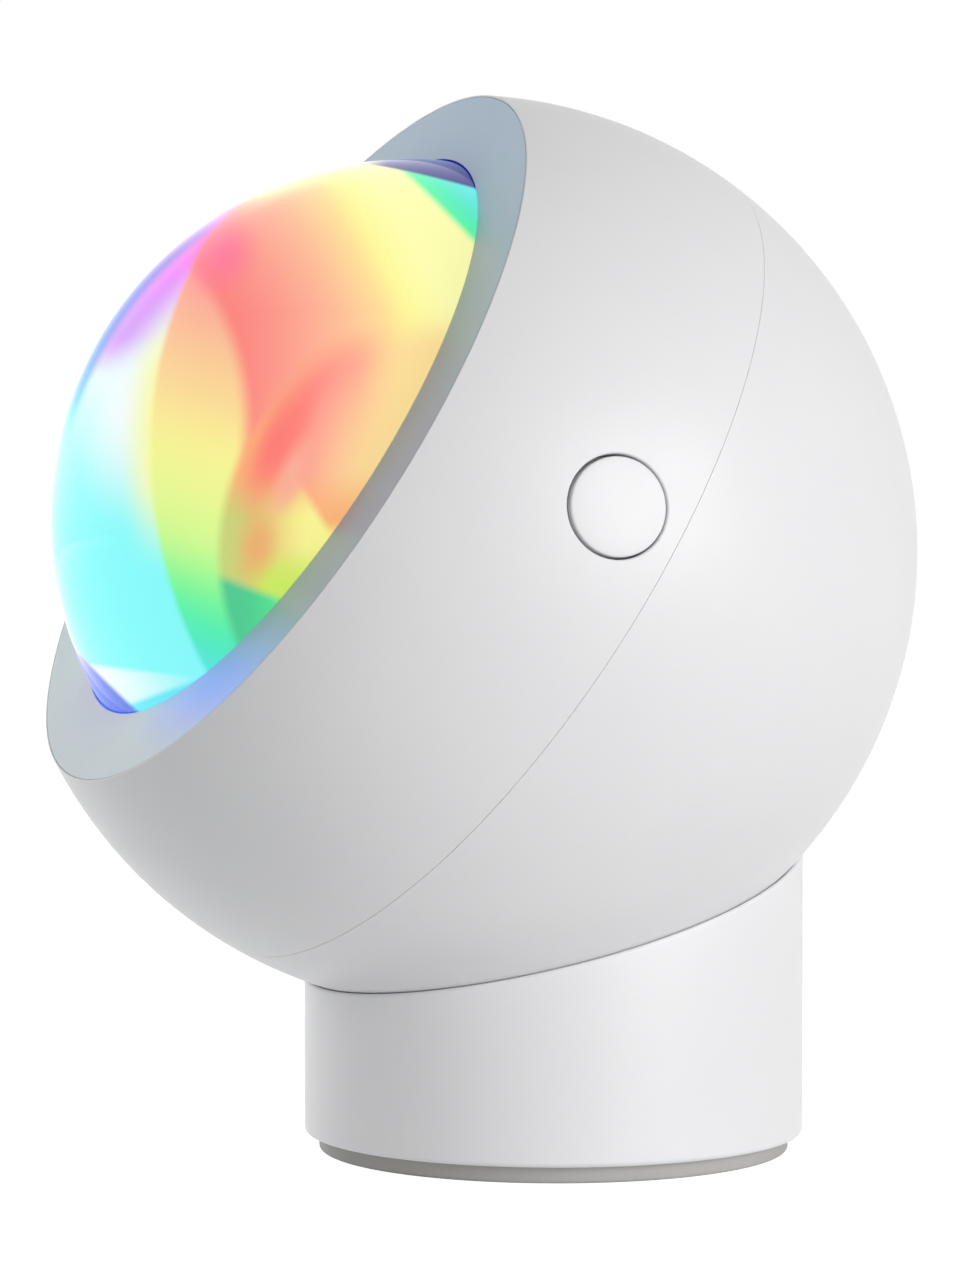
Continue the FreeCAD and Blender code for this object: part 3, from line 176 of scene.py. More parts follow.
def grained(name, colour, shade, rough, grain, depth, metallic=0.0):
    """A finish whose colour and gloss wander a little and whose skin has a fine grain.

    grain is the number of grains in a metre, and depth their height in metres.
    """
    finish = bpy.data.materials.new(name)
    finish.use_nodes = True
    tree = finish.node_tree
    shader = tree.nodes["Principled BSDF"]
    where = add(tree, "ShaderNodeTexCoord").outputs["Object"]
    cloud = add(tree, "ShaderNodeTexNoise", {"Vector": where, "Scale": PATCHES, "Detail": 3.0})
    mix = add(tree, "ShaderNodeMix", {"Factor": cloud.outputs["Fac"], "A": paint(*colour),
                                      "B": paint(*shade)}, data_type="RGBA")
    tree.links.new(mix.outputs["Result"], shader.inputs["Base Color"])
    spread = add(tree, "ShaderNodeTexNoise", {"Vector": where, "Scale": PATCHES * 4,
                                              "Detail": 4.0})
    gloss = add(tree, "ShaderNodeMapRange", {"Value": spread.outputs["Fac"],
                                             "To Min": rough * (1 - GLOSS_SPREAD),
                                             "To Max": rough * (1 + GLOSS_SPREAD)})
    tree.links.new(gloss.outputs["Result"], shader.inputs["Roughness"])
    pits = add(tree, "ShaderNodeTexNoise", {"Vector": where, "Scale": grain, "Detail": 2.0})
    bump = add(tree, "ShaderNodeBump", {"Height": pits.outputs["Fac"], "Distance": depth,
                                        "Strength": 1.0})
    tree.links.new(bump.outputs["Normal"], shader.inputs["Normal"])
    shader.inputs["Metallic"].default_value = metallic
    return finish


pad_outline = [(0, 0)]
pad_outline += arc((PAD_RADIUS - PAD_EDGE, PAD_EDGE), PAD_EDGE, -90, 0)
pad_outline += arc((PAD_RADIUS - PAD_EDGE / 2, PAD_HEIGHT - PAD_EDGE / 2), PAD_EDGE / 2, 0, 90)
pad_outline += [(0, PAD_HEIGHT)]
pad_foam = grained("pad_foam", PAD_GREY, PAD_SHADE, rough=0.75, grain=3500, depth=0.03 * MM)
foot_pad = turned("foot_pad_disc", pad_outline, finish=pad_foam)
even_shading(foot_pad)
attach(foot_pad, "base")
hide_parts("foot_pad")


# ---------------------------------------------------------------- base shell
# The round foot of the lamp, moulded in white plastic with a satin skin. Its
# top is a cup that fits the ball, so its upper edge rises to the back. The
# cup's floor has a groove for the glide ring and a well for the magnet below.

BALL_RADIUS = 40.0 * MM
BALL_CENTRE = Vector((0, -9.0, 53.0)) * MM
FIT_GAP = 0.1 * MM
SEAT_RADIUS = BALL_RADIUS + 0.3 * MM
CUP_FLOOR = 2.4 * MM
CEILING_RADIUS = SEAT_RADIUS + CUP_FLOOR
WALL_MIDDLE = SEAT_RADIUS + CUP_FLOOR / 2
BASE_RADIUS = 22.2 * MM
BASE_BORE = BASE_RADIUS - 2.2 * MM
BASE_EDGE = 0.5 * MM
LIP_ROUND = 0.3 * MM
LIP_SEAT = BALL_RADIUS + 0.06 * MM
GROOVE_INNER = 8.5 * MM
GROOVE_OUTER = 10.5 * MM
GROOVE_FLOOR = 11.79 * MM
GROOVE_TOOL_TOP = 20.0 * MM
WELL_RADIUS = 10.4 * MM
WELL_TOP = 12.6 * MM
MAGNET_BORE = 8.1 * MM
MAGNET_TOP = 11.3 * MM
BOSS_RING = BASE_RADIUS - 5.0 * MM
BOSS_RADIUS = 3.0 * MM
BOSS_FOOT = 3.5 * MM
BOSS_HEAD = 13.0 * MM
BOSS_TURNS = (90, 210, 330)
BASE_STEPS = 256
CUP_ROWS = (0.15, 0.3, 0.42, 0.53, 0.63, 0.72, 0.8, 0.87, 0.93, 0.98, 1.0)
SHELL_WHITE = (238, 238, 239)
SHELL_SHADE = (234, 234, 236)


def piece(name, points, faces):
    """A new mesh object with smooth faces and sharp edges where it turns sharply."""
    mesh = bpy.data.meshes.new(name)
    mesh.from_pydata(points, [], faces)
    mesh.validate()
    mesh.shade_smooth()
    mesh.set_sharp_from_angle(angle=SHARP_TURN)
    obj = bpy.data.objects.new(name, mesh)
    bpy.context.scene.collection.objects.link(obj)
    return obj


def cup_height(radius, turn, seat):
    """Height of a sphere about the ball's centre, over a point of the base's plan."""
    x = radius * math.cos(turn)
    y = radius * math.sin(turn)
    return BALL_CENTRE.z - math.sqrt(seat ** 2 - x ** 2 - (y - BALL_CENTRE.y) ** 2)


def lip_arc(turn):
    """The rounded lip between the wall and the cup, at one turn about the axis."""
    low = cup_height(BASE_RADIUS - 2 * LIP_ROUND, turn, LIP_SEAT)
    high = cup_height(BASE_RADIUS, turn, LIP_SEAT)
    slope = math.atan2(high - low, 2 * LIP_ROUND)
    reach = LIP_ROUND / math.tan(math.pi / 4 - slope / 2)
    return arc((BASE_RADIUS - LIP_ROUND, high - reach), LIP_ROUND, 0, 90 + math.degrees(slope), 10)


def base_outline(turn):
    """The base's half section at one turn about its axis: ceiling, wall, lip and cup."""
    lip = lip_arc(turn)
    cup_end = lip[-1][0]
    section = [(BASE_BORE * s, cup_height(BASE_BORE * s, turn, CEILING_RADIUS)) for s in CUP_ROWS]
    section += [(BASE_BORE, PAD_HEIGHT)]
    section += arc((BASE_RADIUS - BASE_EDGE, PAD_HEIGHT + BASE_EDGE), BASE_EDGE, -90, 0)
    section += lip
    section += [(cup_end * s, cup_height(cup_end * s, turn, SEAT_RADIUS))
                for s in CUP_ROWS[-2::-1]]
    return section


def base_blank():
    """The cup, wall and ceiling of the base as one closed skin."""
    points = [Vector((0, 0, cup_height(0, 0, CEILING_RADIUS)))]
    count = len(base_outline(0))
    for i in range(BASE_STEPS):
        turn = 2 * math.pi * i / BASE_STEPS
        for radius, height in base_outline(turn):
            points.append(Vector((radius * math.cos(turn), radius * math.sin(turn), height)))
    points.append(Vector((0, 0, cup_height(0, 0, SEAT_RADIUS))))
    top = len(points) - 1
    faces = []
    for i in range(BASE_STEPS):
        here = 1 + i * count
        beside = 1 + (i + 1) % BASE_STEPS * count
        faces.append((0, beside, here))
        for k in range(count - 1):
            faces.append((here + k, beside + k, beside + k + 1, here + k + 1))
        faces.append((here + count - 1, beside + count - 1, top))
    return piece("base_cup", points, faces)


def rod(radius, low, high, x=0.0, y=0.0, steps=64):
    """A plain upright cylinder for cutting or joining."""
    return turned("rod", [(0, low), (radius, low), (radius, high), (0, high)],
                  Matrix.Translation((x, y, 0)), steps)


def work(obj, tool, operation):
    """Cut, join or share a piece with a tool, which is used up."""
    step = obj.modifiers.new("work", "BOOLEAN")
    step.operation = operation
    step.solver = "EXACT"
    step.object = tool
    finish = obj.data.materials[0]
    settle(obj)
    coat(obj, finish)
    bpy.data.objects.remove(tool)
    skin = bmesh.new()
    skin.from_mesh(obj.data)
    bmesh.ops.remove_doubles(skin, verts=skin.verts, dist=WELD)
    skin.to_mesh(obj.data)
    skin.free()


shell_white = grained("shell_satin", SHELL_WHITE, SHELL_SHADE, rough=0.38, grain=5200,
                      depth=0.002 * MM)
base = base_blank()
coat(base, shell_white)
for turn in map(math.radians, BOSS_TURNS):
    boss = rod(BOSS_RADIUS, BOSS_FOOT, BOSS_HEAD, BOSS_RING * math.cos(turn),
               BOSS_RING * math.sin(turn))
    for corner in boss.data.vertices:
        if corner.co.z > BOSS_FOOT + BASE_EDGE:
            spot = corner.co.xy
            corner.co.z = cup_height(spot.length, math.atan2(spot.y, spot.x), WALL_MIDDLE)
    work(base, boss, "UNION")
work(base, rod(WELL_RADIUS, BOSS_FOOT + FIT_GAP, WELL_TOP, y=BALL_CENTRE.y, steps=96), "UNION")
work(base, rod(MAGNET_BORE, 0, MAGNET_TOP, y=BALL_CENTRE.y, steps=96), "DIFFERENCE")
groove = turned("groove", [(GROOVE_INNER, GROOVE_FLOOR), (GROOVE_OUTER, GROOVE_FLOOR),
                           (GROOVE_OUTER, GROOVE_TOOL_TOP), (GROOVE_INNER, GROOVE_TOOL_TOP)],
                Matrix.Translation((0, BALL_CENTRE.y, 0)), steps=128)
work(base, groove, "DIFFERENCE")
base.data.set_sharp_from_angle(angle=SHARP_TURN)
even_shading(base)
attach(base, "base")
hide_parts("base_shell")


# ------------------------------------------------------- magnet and its clip
# A nickel-plated disc magnet close under the cup, which pulls on the steel
# dish in the ball. A moulded plastic sleeve stands on the bottom plate and
# holds it up in its well.

def dress(node, finish):
    """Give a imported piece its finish, in every slot it has."""
    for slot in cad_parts[node].material_slots:
        slot.material = finish


dress("magnet", grained("nickel_plate", (196, 194, 188), (182, 180, 175), rough=0.22,
                        grain=900, depth=0.002 * MM, metallic=1.0))
dress("magnet_clip", grained("clip_plastic", (205, 206, 205), (196, 197, 196), rough=0.5,
                             grain=2600, depth=0.004 * MM))


# ------------------------------------------------------------ ballast weight
# A crescent of cast steel, left as it comes from the mould, that keeps the
# lamp from tipping. It lies on the bottom plate behind the magnet's well.

dress("ballast_weight", grained("cast_steel", (96, 95, 94), (70, 68, 66), rough=0.55,
                                grain=1400, depth=0.05 * MM, metallic=1.0))


# ----------------------------------------------- bottom plate and its screws
# A flat disc moulded in grey plastic that closes the base from below. Three
# zinc-plated countersunk screws hold it to the base's bosses, over the pad.

dress("bottom_plate", grained("plate_plastic", (150, 152, 155), (142, 144, 147), rough=0.55,
                              grain=3000, depth=0.008 * MM))
dress("base_screws", grained("zinc_screws", (176, 178, 182), (150, 152, 158), rough=0.3,
                             grain=2500, depth=0.004 * MM, metallic=1.0))


# ---------------------------------------------------------------- glide ring
# A ring of slippery black plastic whose top is turned to the ball's curve.
# It lies loose in the cup's groove, and the ball rides and turns on it.

dress("glide_ring", grained("ring_acetal", (34, 34, 36), (26, 26, 28), rough=0.42, grain=2200,
                            depth=0.004 * MM))


# ---------------------------------------------------------------- rear shell
# The back half of the ball, moulded in the same white plastic. Its front edge
# has a rebate for the other half's tongue, and a round-ended slot in its side
# lets the charging socket look out.

LENS_TILT = math.radians(31.0)
LENS_AXIS = Vector((0, -math.cos(LENS_TILT), math.sin(LENS_TILT)))
HEAD_UP = Vector((0, math.sin(LENS_TILT), math.cos(LENS_TILT)))
HEAD = Matrix(((1, HEAD_UP.x, LENS_AXIS.x, BALL_CENTRE.x),
               (0, HEAD_UP.y, LENS_AXIS.y, BALL_CENTRE.y),
               (0, HEAD_UP.z, LENS_AXIS.z, BALL_CENTRE.z),
               (0, 0, 0, 1)))
SHELL_INNER = BALL_RADIUS - 2.2 * MM
SEAM_BACK = 0.7 * MM
SEAM_GAP = 0.03 * MM
SEAM_EDGE = 0.03 * MM
LAP_DEPTH = 2.0 * MM
LAP_RADIUS = SHELL_INNER + 1.0 * MM
NEAR_POLE = 0.9999
SHELL_STEPS = 288
SLOT_WIDTH = 9.34 * MM
SLOT_HEIGHT = 3.66 * MM
SLOT_MIDDLE = -6.17 * MM
SLOT_END_STEPS = 24
SLOT_FLARE = ((-41.5, 0.75), (-39.95, 0.32), (-39.72, 0.13), (-39.45, 0.03), (-39.2, 0.0),
              (-31.0, 0.0))
SKIN_REACH = 0.03 * MM
SKIN_FACING = 0.99


def ball_arc(radius, low, high, steps):
    """The ball's outline between two heights above its centre, seen from the side."""
    return arc((0, 0), radius, math.degrees(math.asin(low / radius)),
               math.degrees(math.asin(high / radius)), steps)


def slot_cutter():
    """A round-ended bar along x that flares by so many millimetres at the ball's skin."""
    half = (SLOT_WIDTH - SLOT_HEIGHT) / 2
    rows = []
    for x, grow in SLOT_FLARE:
        radius = SLOT_HEIGHT / 2 + grow * MM
        row = []
        for side, start in ((1, -90), (-1, 90)):
            for i in range(SLOT_END_STEPS + 1):
                turn = math.radians(start + 180 * i / SLOT_END_STEPS)
                row.append(HEAD @ Vector((x * MM, side * half + radius * math.cos(turn),
                                          SLOT_MIDDLE + radius * math.sin(turn))))
        rows.append(row)
    count = len(rows[0])
    points = [p for row in rows for p in row]
    last = len(points) - count
    faces = [list(range(count - 1, -1, -1)), list(range(last, len(points)))]
    for k in range(0, last, count):
        for i in range(count):
            j = (i + 1) % count
            faces.append((k + i, k + j, k + count + j, k + count + i))
    return piece("slot_cutter", points, faces)


def ball_shading(obj):
    """Point the corner normals of every face on the ball's skin straight out."""
    mesh = obj.data
    mesh.set_sharp_from_angle(angle=SHARP_TURN)
    normals = [corner.vector.copy() for corner in mesh.corner_normals]
    for face in mesh.polygons:
        out = face.center - BALL_CENTRE
        if abs(out.length - BALL_RADIUS) > SKIN_REACH:
            continue
        if face.normal.dot(out.normalized()) < SKIN_FACING:
            continue
        for loop in face.loop_indices:
            spot = mesh.vertices[mesh.loops[loop].vertex_index].co
            normals[loop] = (spot - BALL_CENTRE).normalized()
    mesh.normals_split_custom_set(normals)


seam = -SEAM_BACK - SEAM_GAP
lap = -SEAM_BACK - LAP_DEPTH - FIT_GAP
rear_outline = [(0, -BALL_RADIUS)]
rear_outline += ball_arc(BALL_RADIUS, -BALL_RADIUS * NEAR_POLE, seam - SEAM_EDGE, 88)
rear_outline += arc((math.sqrt(BALL_RADIUS ** 2 - seam ** 2) - SEAM_EDGE, seam - SEAM_EDGE),
                    SEAM_EDGE, 20, 90, 4)
rear_outline += [(LAP_RADIUS, seam), (LAP_RADIUS, lap)]
rear_outline += ball_arc(SHELL_INNER, lap, -SHELL_INNER * NEAR_POLE, 44)
rear_outline += [(0, -SHELL_INNER)]
rear = turned("ball_rear", rear_outline, HEAD, SHELL_STEPS, shell_white)
work(rear, slot_cutter(), "DIFFERENCE")
ball_shading(rear)
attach(rear, "head")
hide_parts("rear_shell")


# ---------------------------------------------------------------- steel dish
# A cap of steel sheet, pressed to the ball's curve and zinc-plated. It lies
# inside the rear shell, where the base's magnet pulls on it.

dress("steel_cap", grained("pressed_zinc", (170, 172, 174), (150, 152, 155), rough=0.35,
                           grain=1800, depth=0.006 * MM, metallic=1.0))


# -------------------------------------------------------- cell and its cover
# A flat rechargeable cell in shiny film, lying in the bottom of the rear
# shell. Two screws hold the black moulded cover over it.

dress("battery", grained("cell_wrap", (120, 132, 150), (108, 120, 138), rough=0.35, grain=700,
                         depth=0.03 * MM, metallic=0.6))
dress("battery_tray", grained("tray_plastic", (36, 37, 39), (28, 29, 31), rough=0.5,
                              grain=2600, depth=0.008 * MM))


# ------------------------------------------------- charging board and socket
# A green fibre board on two pillars of the rear shell, with a charger chip, a
# coil and a capacitor soldered on it. The socket at its edge is a shell of
# pressed steel round a flat tongue.

dress("main_board", grained("board_fibre", (32, 92, 58), (24, 78, 50), rough=0.4, grain=3200,
                            depth=0.01 * MM))
dress("board_chips", grained("chip_epoxy", (30, 30, 32), (24, 24, 26), rough=0.55, grain=4200,
                             depth=0.01 * MM))
dress("usb_socket", grained("socket_steel", (186, 188, 192), (172, 174, 180), rough=0.25,
                            grain=1600, depth=0.003 * MM, metallic=1.0))


# --------------------------------------------------------------------- leads
# Pairs of thin wires in coloured plastic, soldered at both ends. They run
# from the charging board to the cell, to the LED and to the switch.

dress("battery_leads", grained("cell_lead_pvc", (168, 30, 30), (150, 24, 24), rough=0.4,
                               grain=2400, depth=0.004 * MM))
dress("led_leads", grained("led_lead_pvc", (190, 40, 34), (170, 34, 30), rough=0.4, grain=2400,
                           depth=0.004 * MM))
dress("switch_leads", grained("switch_lead_pvc", (46, 46, 50), (38, 38, 42), rough=0.4,
                              grain=2400, depth=0.004 * MM))


# --------------------------------------------------------------- front shell
# The front half of the ball: a white moulding with a rim round the lens, a
# ledge that the grey bezel snaps behind, a tongue that laps into the rear
# half, and a round hole for the button with a softened edge.

RIM_PLANE = 20.2 * MM
RIM_ROUND = 0.1 * MM
RIM_BEVEL = 0.05 * MM
RIM_RADIUS = math.sqrt(BALL_RADIUS ** 2 - RIM_PLANE ** 2)
BEZEL_SEAT = RIM_RADIUS - 0.12 * MM
BEZEL_BACK = RIM_PLANE - 1.2 * MM
SKIRT_RADIUS = RIM_RADIUS - 1.55 * MM
LEDGE_RADIUS = SKIRT_RADIUS + FIT_GAP
LEDGE_BACK = BEZEL_BACK - 2.6 * MM
TONGUE_RADIUS = LAP_RADIUS - FIT_GAP
BUTTON_AHEAD = math.radians(7.4)
BUTTON_LIFT = math.radians(2.0)
BUTTON_RADIUS = 4.0 * MM
BUTTON_GAP = 0.2 * MM
HOLE_ROUND = 0.18 * MM
HOLE_TOOL_FOOT = 30.0 * MM
HOLE_TOOL_WIDER = 1.2 * MM
HOLE_TOOL_HIGHER = 0.5 * MM
BUTTON = HEAD @ Matrix.Rotation(BUTTON_LIFT, 4, "Z") @ Matrix.Rotation(
    math.pi / 2 - BUTTON_AHEAD, 4, "Y")

rim_fall = math.sqrt(BALL_RADIUS ** 2 - (RIM_PLANE - RIM_ROUND) ** 2)
front_outline = [(TONGUE_RADIUS, -SEAM_BACK)]
front_outline += arc((math.sqrt(BALL_RADIUS ** 2 - SEAM_BACK ** 2) - SEAM_EDGE,
                      -SEAM_BACK + SEAM_EDGE), SEAM_EDGE, -90, 0, 4)
front_outline += ball_arc(BALL_RADIUS, SEAM_EDGE, RIM_PLANE - RIM_ROUND, 40)
front_outline += arc((rim_fall - RIM_ROUND, RIM_PLANE - RIM_ROUND), RIM_ROUND, 28, 90, 6)[1:]
front_outline += arc((BEZEL_SEAT + RIM_BEVEL, RIM_PLANE - RIM_BEVEL), RIM_BEVEL, 90, 180, 3)
front_outline += [(BEZEL_SEAT, BEZEL_BACK), (LEDGE_RADIUS, BEZEL_BACK),
                  (LEDGE_RADIUS, LEDGE_BACK)]
front_outline += ball_arc(SHELL_INNER, LEDGE_BACK, -SEAM_BACK - LAP_DEPTH, 24)
front_outline += [(TONGUE_RADIUS, -SEAM_BACK - LAP_DEPTH)]
front = turned("ball_front", front_outline, HEAD, SHELL_STEPS, shell_white)

hole = BUTTON_RADIUS + BUTTON_GAP
skin = math.sqrt(BALL_RADIUS ** 2 - (hole + HOLE_ROUND) ** 2)
hole_outline = [(0, HOLE_TOOL_FOOT), (hole, HOLE_TOOL_FOOT)]
hole_outline += [(2 * hole + HOLE_ROUND * 2 - r, z) for r, z in
                 arc((hole + HOLE_ROUND, skin - HOLE_ROUND), HOLE_ROUND, 0, 75, 6)]
hole_outline += [(hole + HOLE_TOOL_WIDER, skin + HOLE_TOOL_HIGHER), (0, skin + HOLE_TOOL_HIGHER)]
work(front, turned("hole_cutter", hole_outline, BUTTON, 144), "DIFFERENCE")
ball_shading(front)
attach(front, "head")
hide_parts("front_shell")


# --------------------------------------------------------------- push button
# A round cap of the ball's white plastic, flush with its skin. It is moulded
# with a stop rim that keeps it in its hole and a stem that presses the switch.

CAP_EDGE = 0.16 * MM
CAP_PLAY = HEAD_UP * 0.04 * MM - LENS_AXIS * 0.08 * MM
CAP_FOOT = 33.55 * MM
CAP_STEPS = 128
CAP_ROWS = (0.9, 0.78, 0.64, 0.5, 0.36, 0.22, 0.1)
STEM_RADIUS = 1.6 * MM
STOP_RADIUS = BUTTON_RADIUS + 1.3 * MM
STOP_TOP = 37.05 * MM
STOP_BACK = 35.85 * MM

cap_rise = math.sqrt(BALL_RADIUS ** 2 - BUTTON_RADIUS ** 2) - CAP_EDGE
cap_outline = [(0, CAP_FOOT), (STEM_RADIUS, CAP_FOOT), (STEM_RADIUS, STOP_BACK),
               (STOP_RADIUS, STOP_BACK), (STOP_RADIUS, STOP_TOP), (BUTTON_RADIUS, STOP_TOP)]
cap_outline += arc((BUTTON_RADIUS - CAP_EDGE, cap_rise), CAP_EDGE, 0, 84, 6)
for row in CAP_ROWS:
    radius = (BUTTON_RADIUS - CAP_EDGE) * row
    cap_outline.append((radius, math.sqrt(BALL_RADIUS ** 2 - radius ** 2)))
cap_outline.append((0, BALL_RADIUS))
cap = turned("button_top", cap_outline, Matrix.Translation(CAP_PLAY) @ BUTTON, CAP_STEPS,
             shell_white)
even_shading(cap)
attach(cap, "button")
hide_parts("button_cap")


# -------------------------------------------------------------------- switch
# A square push switch in black nylon with a short white pin, soldered on a
# small board that slides into the grooves of the front shell's cradle.

dress("switch_plunger", grained("plunger_nylon", (226, 226, 222), (216, 216, 212), rough=0.45,
                                grain=2400, depth=0.004 * MM))
dress("switch_body", grained("switch_nylon", (30, 30, 32), (24, 24, 26), rough=0.45,
                             grain=2600, depth=0.006 * MM))
dress("switch_board", grained("switch_fibre", (34, 96, 62), (26, 82, 52), rough=0.4,
                              grain=3200, depth=0.01 * MM))


# ----------------------------------------------------------------- heat sink
# A finned disc of bare aluminium that draws the heat off the LED's board.
# Three screws hold it to the foot of the light tube.

dress("heat_sink", grained("bare_aluminium", (190, 192, 194), (176, 178, 181), rough=0.38,
                           grain=1500, depth=0.01 * MM, metallic=1.0))


# --------------------------------------------------------- LED and its board
# A square package with a domed yellow window, soldered to a round aluminium
# board with a white coat. The board lies in the tube's foot, on the sink.

dress("led_board", grained("board_white", (214, 215, 212), (205, 206, 203), rough=0.4,
                           grain=2200, depth=0.004 * MM))
dress("led_emitter", grained("led_phosphor", (240, 222, 120), (232, 210, 96), rough=0.35,
                             grain=3600, depth=0.01 * MM))


# ---------------------------------------------------------------- light tube
# A cone moulded in matt black plastic that keeps the light together. Three
# screws through its arms hold it to the front shell's bosses.

dress("light_tube", grained("tube_matt", (24, 24, 25), (18, 18, 19), rough=0.7, grain=3600,
                            depth=0.01 * MM))


# ------------------------------------------------------------- coated filter
# A glass disc with a thin mirror-like coat that splits white light into
# colours. It lies in a seat at the tube's front, under the lens's flat back.

dress("dichroic_filter", grained("filter_coat", (210, 120, 190), (110, 190, 225), rough=0.08,
                                 grain=400, depth=0.002 * MM, metallic=0.4))


# -------------------------------------------------------- screws of the ball
# Ten small pan-head screws of blackened steel, all alike. They hold the tube,
# the heat sink, the charging board and the cell's cover.

dress("head_screws", grained("black_screws", (62, 62, 66), (48, 48, 52), rough=0.35,
                             grain=2500, depth=0.004 * MM, metallic=1.0))


# ---------------------------------------------------------------------- lens
# A thick glass dome with a flat back, held by its thin flange. The coated
# disc behind it breaks the light up, so its face is full of soft overlapping
# petals of colour, from cyan at one side through gold to red and green.

BEZEL_WIDTH = 6.7 * MM
LENS_RADIUS = RIM_RADIUS - BEZEL_WIDTH
DOME_RISE = 16.7 * MM
DOME_RADIUS = (LENS_RADIUS ** 2 + DOME_RISE ** 2) / (2 * DOME_RISE)
DOME_CENTRE = RIM_PLANE + DOME_RISE - DOME_RADIUS
DOME_TIP = 89.7
LENS_TOP = BEZEL_BACK - 0.8 * MM
LENS_BACK = LENS_TOP - 2.6 * MM
LENS_STEPS = 256
FLANGE_REACH = 1.8 * MM
FLANGE_EDGE = 0.2 * MM
dome_edge = math.degrees(math.asin((LENS_TOP - DOME_CENTRE) / DOME_RADIUS))
flange = DOME_RADIUS * math.cos(math.radians(dome_edge)) + FLANGE_REACH - FLANGE_EDGE

lens_outline = [(0, LENS_BACK)]
lens_outline += arc((flange, LENS_BACK + FLANGE_EDGE), FLANGE_EDGE, -90, 0, 4)
lens_outline += arc((flange, LENS_TOP - FLANGE_EDGE), FLANGE_EDGE, 0, 90, 4)
lens_outline += arc((0, DOME_CENTRE), DOME_RADIUS, dome_edge, DOME_TIP, 90)
lens_outline += [(0, DOME_CENTRE + DOME_RADIUS)]

# The plane the petals lie in stands on edge, turned to the lamp's side.
PETAL_TURN = math.radians(66.24)
PETAL_LEAN = math.radians(-1.54)


def petal_frame(tree):
    """Object coordinates turned into the petals' plane, in millimetres from the ball's centre."""
    right = Vector((math.cos(PETAL_TURN), math.sin(PETAL_TURN), 0))
    out = Vector((math.sin(PETAL_TURN) * math.cos(PETAL_LEAN),
                  -math.cos(PETAL_TURN) * math.cos(PETAL_LEAN), -math.sin(PETAL_LEAN)))
    turn = Matrix((right, out.cross(right), out))
    where = add(tree, "ShaderNodeTexCoord").outputs["Object"]
    middle = turn @ BALL_CENTRE / MM
    place = add(tree, "ShaderNodeMapping", {
        "Vector": where, "Location": -middle, "Rotation": turn.to_euler(),
        "Scale": (1 / MM, 1 / MM, 1 / MM)})
    flat = add(tree, "ShaderNodeVectorMath", {0: place.outputs["Vector"], 1: (1, 1, 0)},
               operation="MULTIPLY")
    return flat.outputs["Vector"]


def along(tree, flat, direction):
    """How far a point lies along a direction in the petals' plane."""
    turn = math.radians(direction)
    dot = add(tree, "ShaderNodeVectorMath", {0: flat, 1: (math.cos(turn), math.sin(turn), 0)},
              operation="DOT_PRODUCT")
    return dot.outputs["Value"]


def bands(tree, distance, stops):
    """Colours that follow one another along a distance, given as {millimetre: colour}."""
    first, last = min(stops), max(stops)
    share = add(tree, "ShaderNodeMapRange", {"Value": distance, "From Min": first,
                                             "From Max": last})
    ramp = add(tree, "ShaderNodeValToRGB", {"Fac": share.outputs["Result"]})
    ramp.color_ramp.interpolation = "B_SPLINE"
    steps = ramp.color_ramp.elements
    while len(steps) < len(stops):
        steps.new(0.5)
    for step, spot in zip(steps, sorted(stops)):
        step.position = (spot - first) / (last - first)
    for step, spot in zip(steps, sorted(stops)):
        step.color = paint(*stops[spot])
    return ramp.outputs["Color"]


def fade(tree, distance, start, end):
    """0 before start, 1 past end, and smooth between."""
    step = add(tree, "ShaderNodeMapRange", {"Value": distance, "From Min": start,
                                            "From Max": end}, interpolation_type="SMOOTHSTEP")
    return step.outputs["Result"]


def cut(tree, flat, direction, start, end):
    """1 beyond a straight edge that lies across a direction, and 0 before it."""
    return fade(tree, along(tree, flat, direction), start, end)


def disc(tree, flat, middle, radius, soft):
    """1 inside a circle of the petals' plane, fading out over its edge."""
    reach = add(tree, "ShaderNodeVectorMath", {0: flat, 1: (*middle, 0)}, operation="DISTANCE")
    return fade(tree, reach.outputs["Value"], radius + soft / 2, radius - soft / 2)


def blot(tree, flat, middle, size, turn=0):
    """A soft oval spot, size giving its two half widths, turned in the plane."""
    mapped = add(tree, "ShaderNodeMapping", {
        "Vector": flat, "Location": (*middle, 0), "Rotation": (0, 0, math.radians(turn)),
        "Scale": (*size, 1)}, vector_type="TEXTURE")
    reach = add(tree, "ShaderNodeVectorMath", {0: mapped.outputs["Vector"]}, operation="LENGTH")
    return fade(tree, reach.outputs["Value"], 1.0, 0.0)


def both(tree, first, second):
    """Where two masks overlap."""
    return sum_of(tree, "MULTIPLY", first, second)


def other(tree, mask):
    """Where a mask is not."""
    return sum_of(tree, "SUBTRACT", 1.0, mask)


def over(tree, under, colour, mask):
    """Lay a colour over another where the mask lets it show."""
    top = colour if isinstance(colour, bpy.types.NodeSocket) else paint(*colour)
    mix = add(tree, "ShaderNodeMix", {"Factor": mask, "A": under, "B": top}, data_type="RGBA")
    return mix.outputs["Result"]


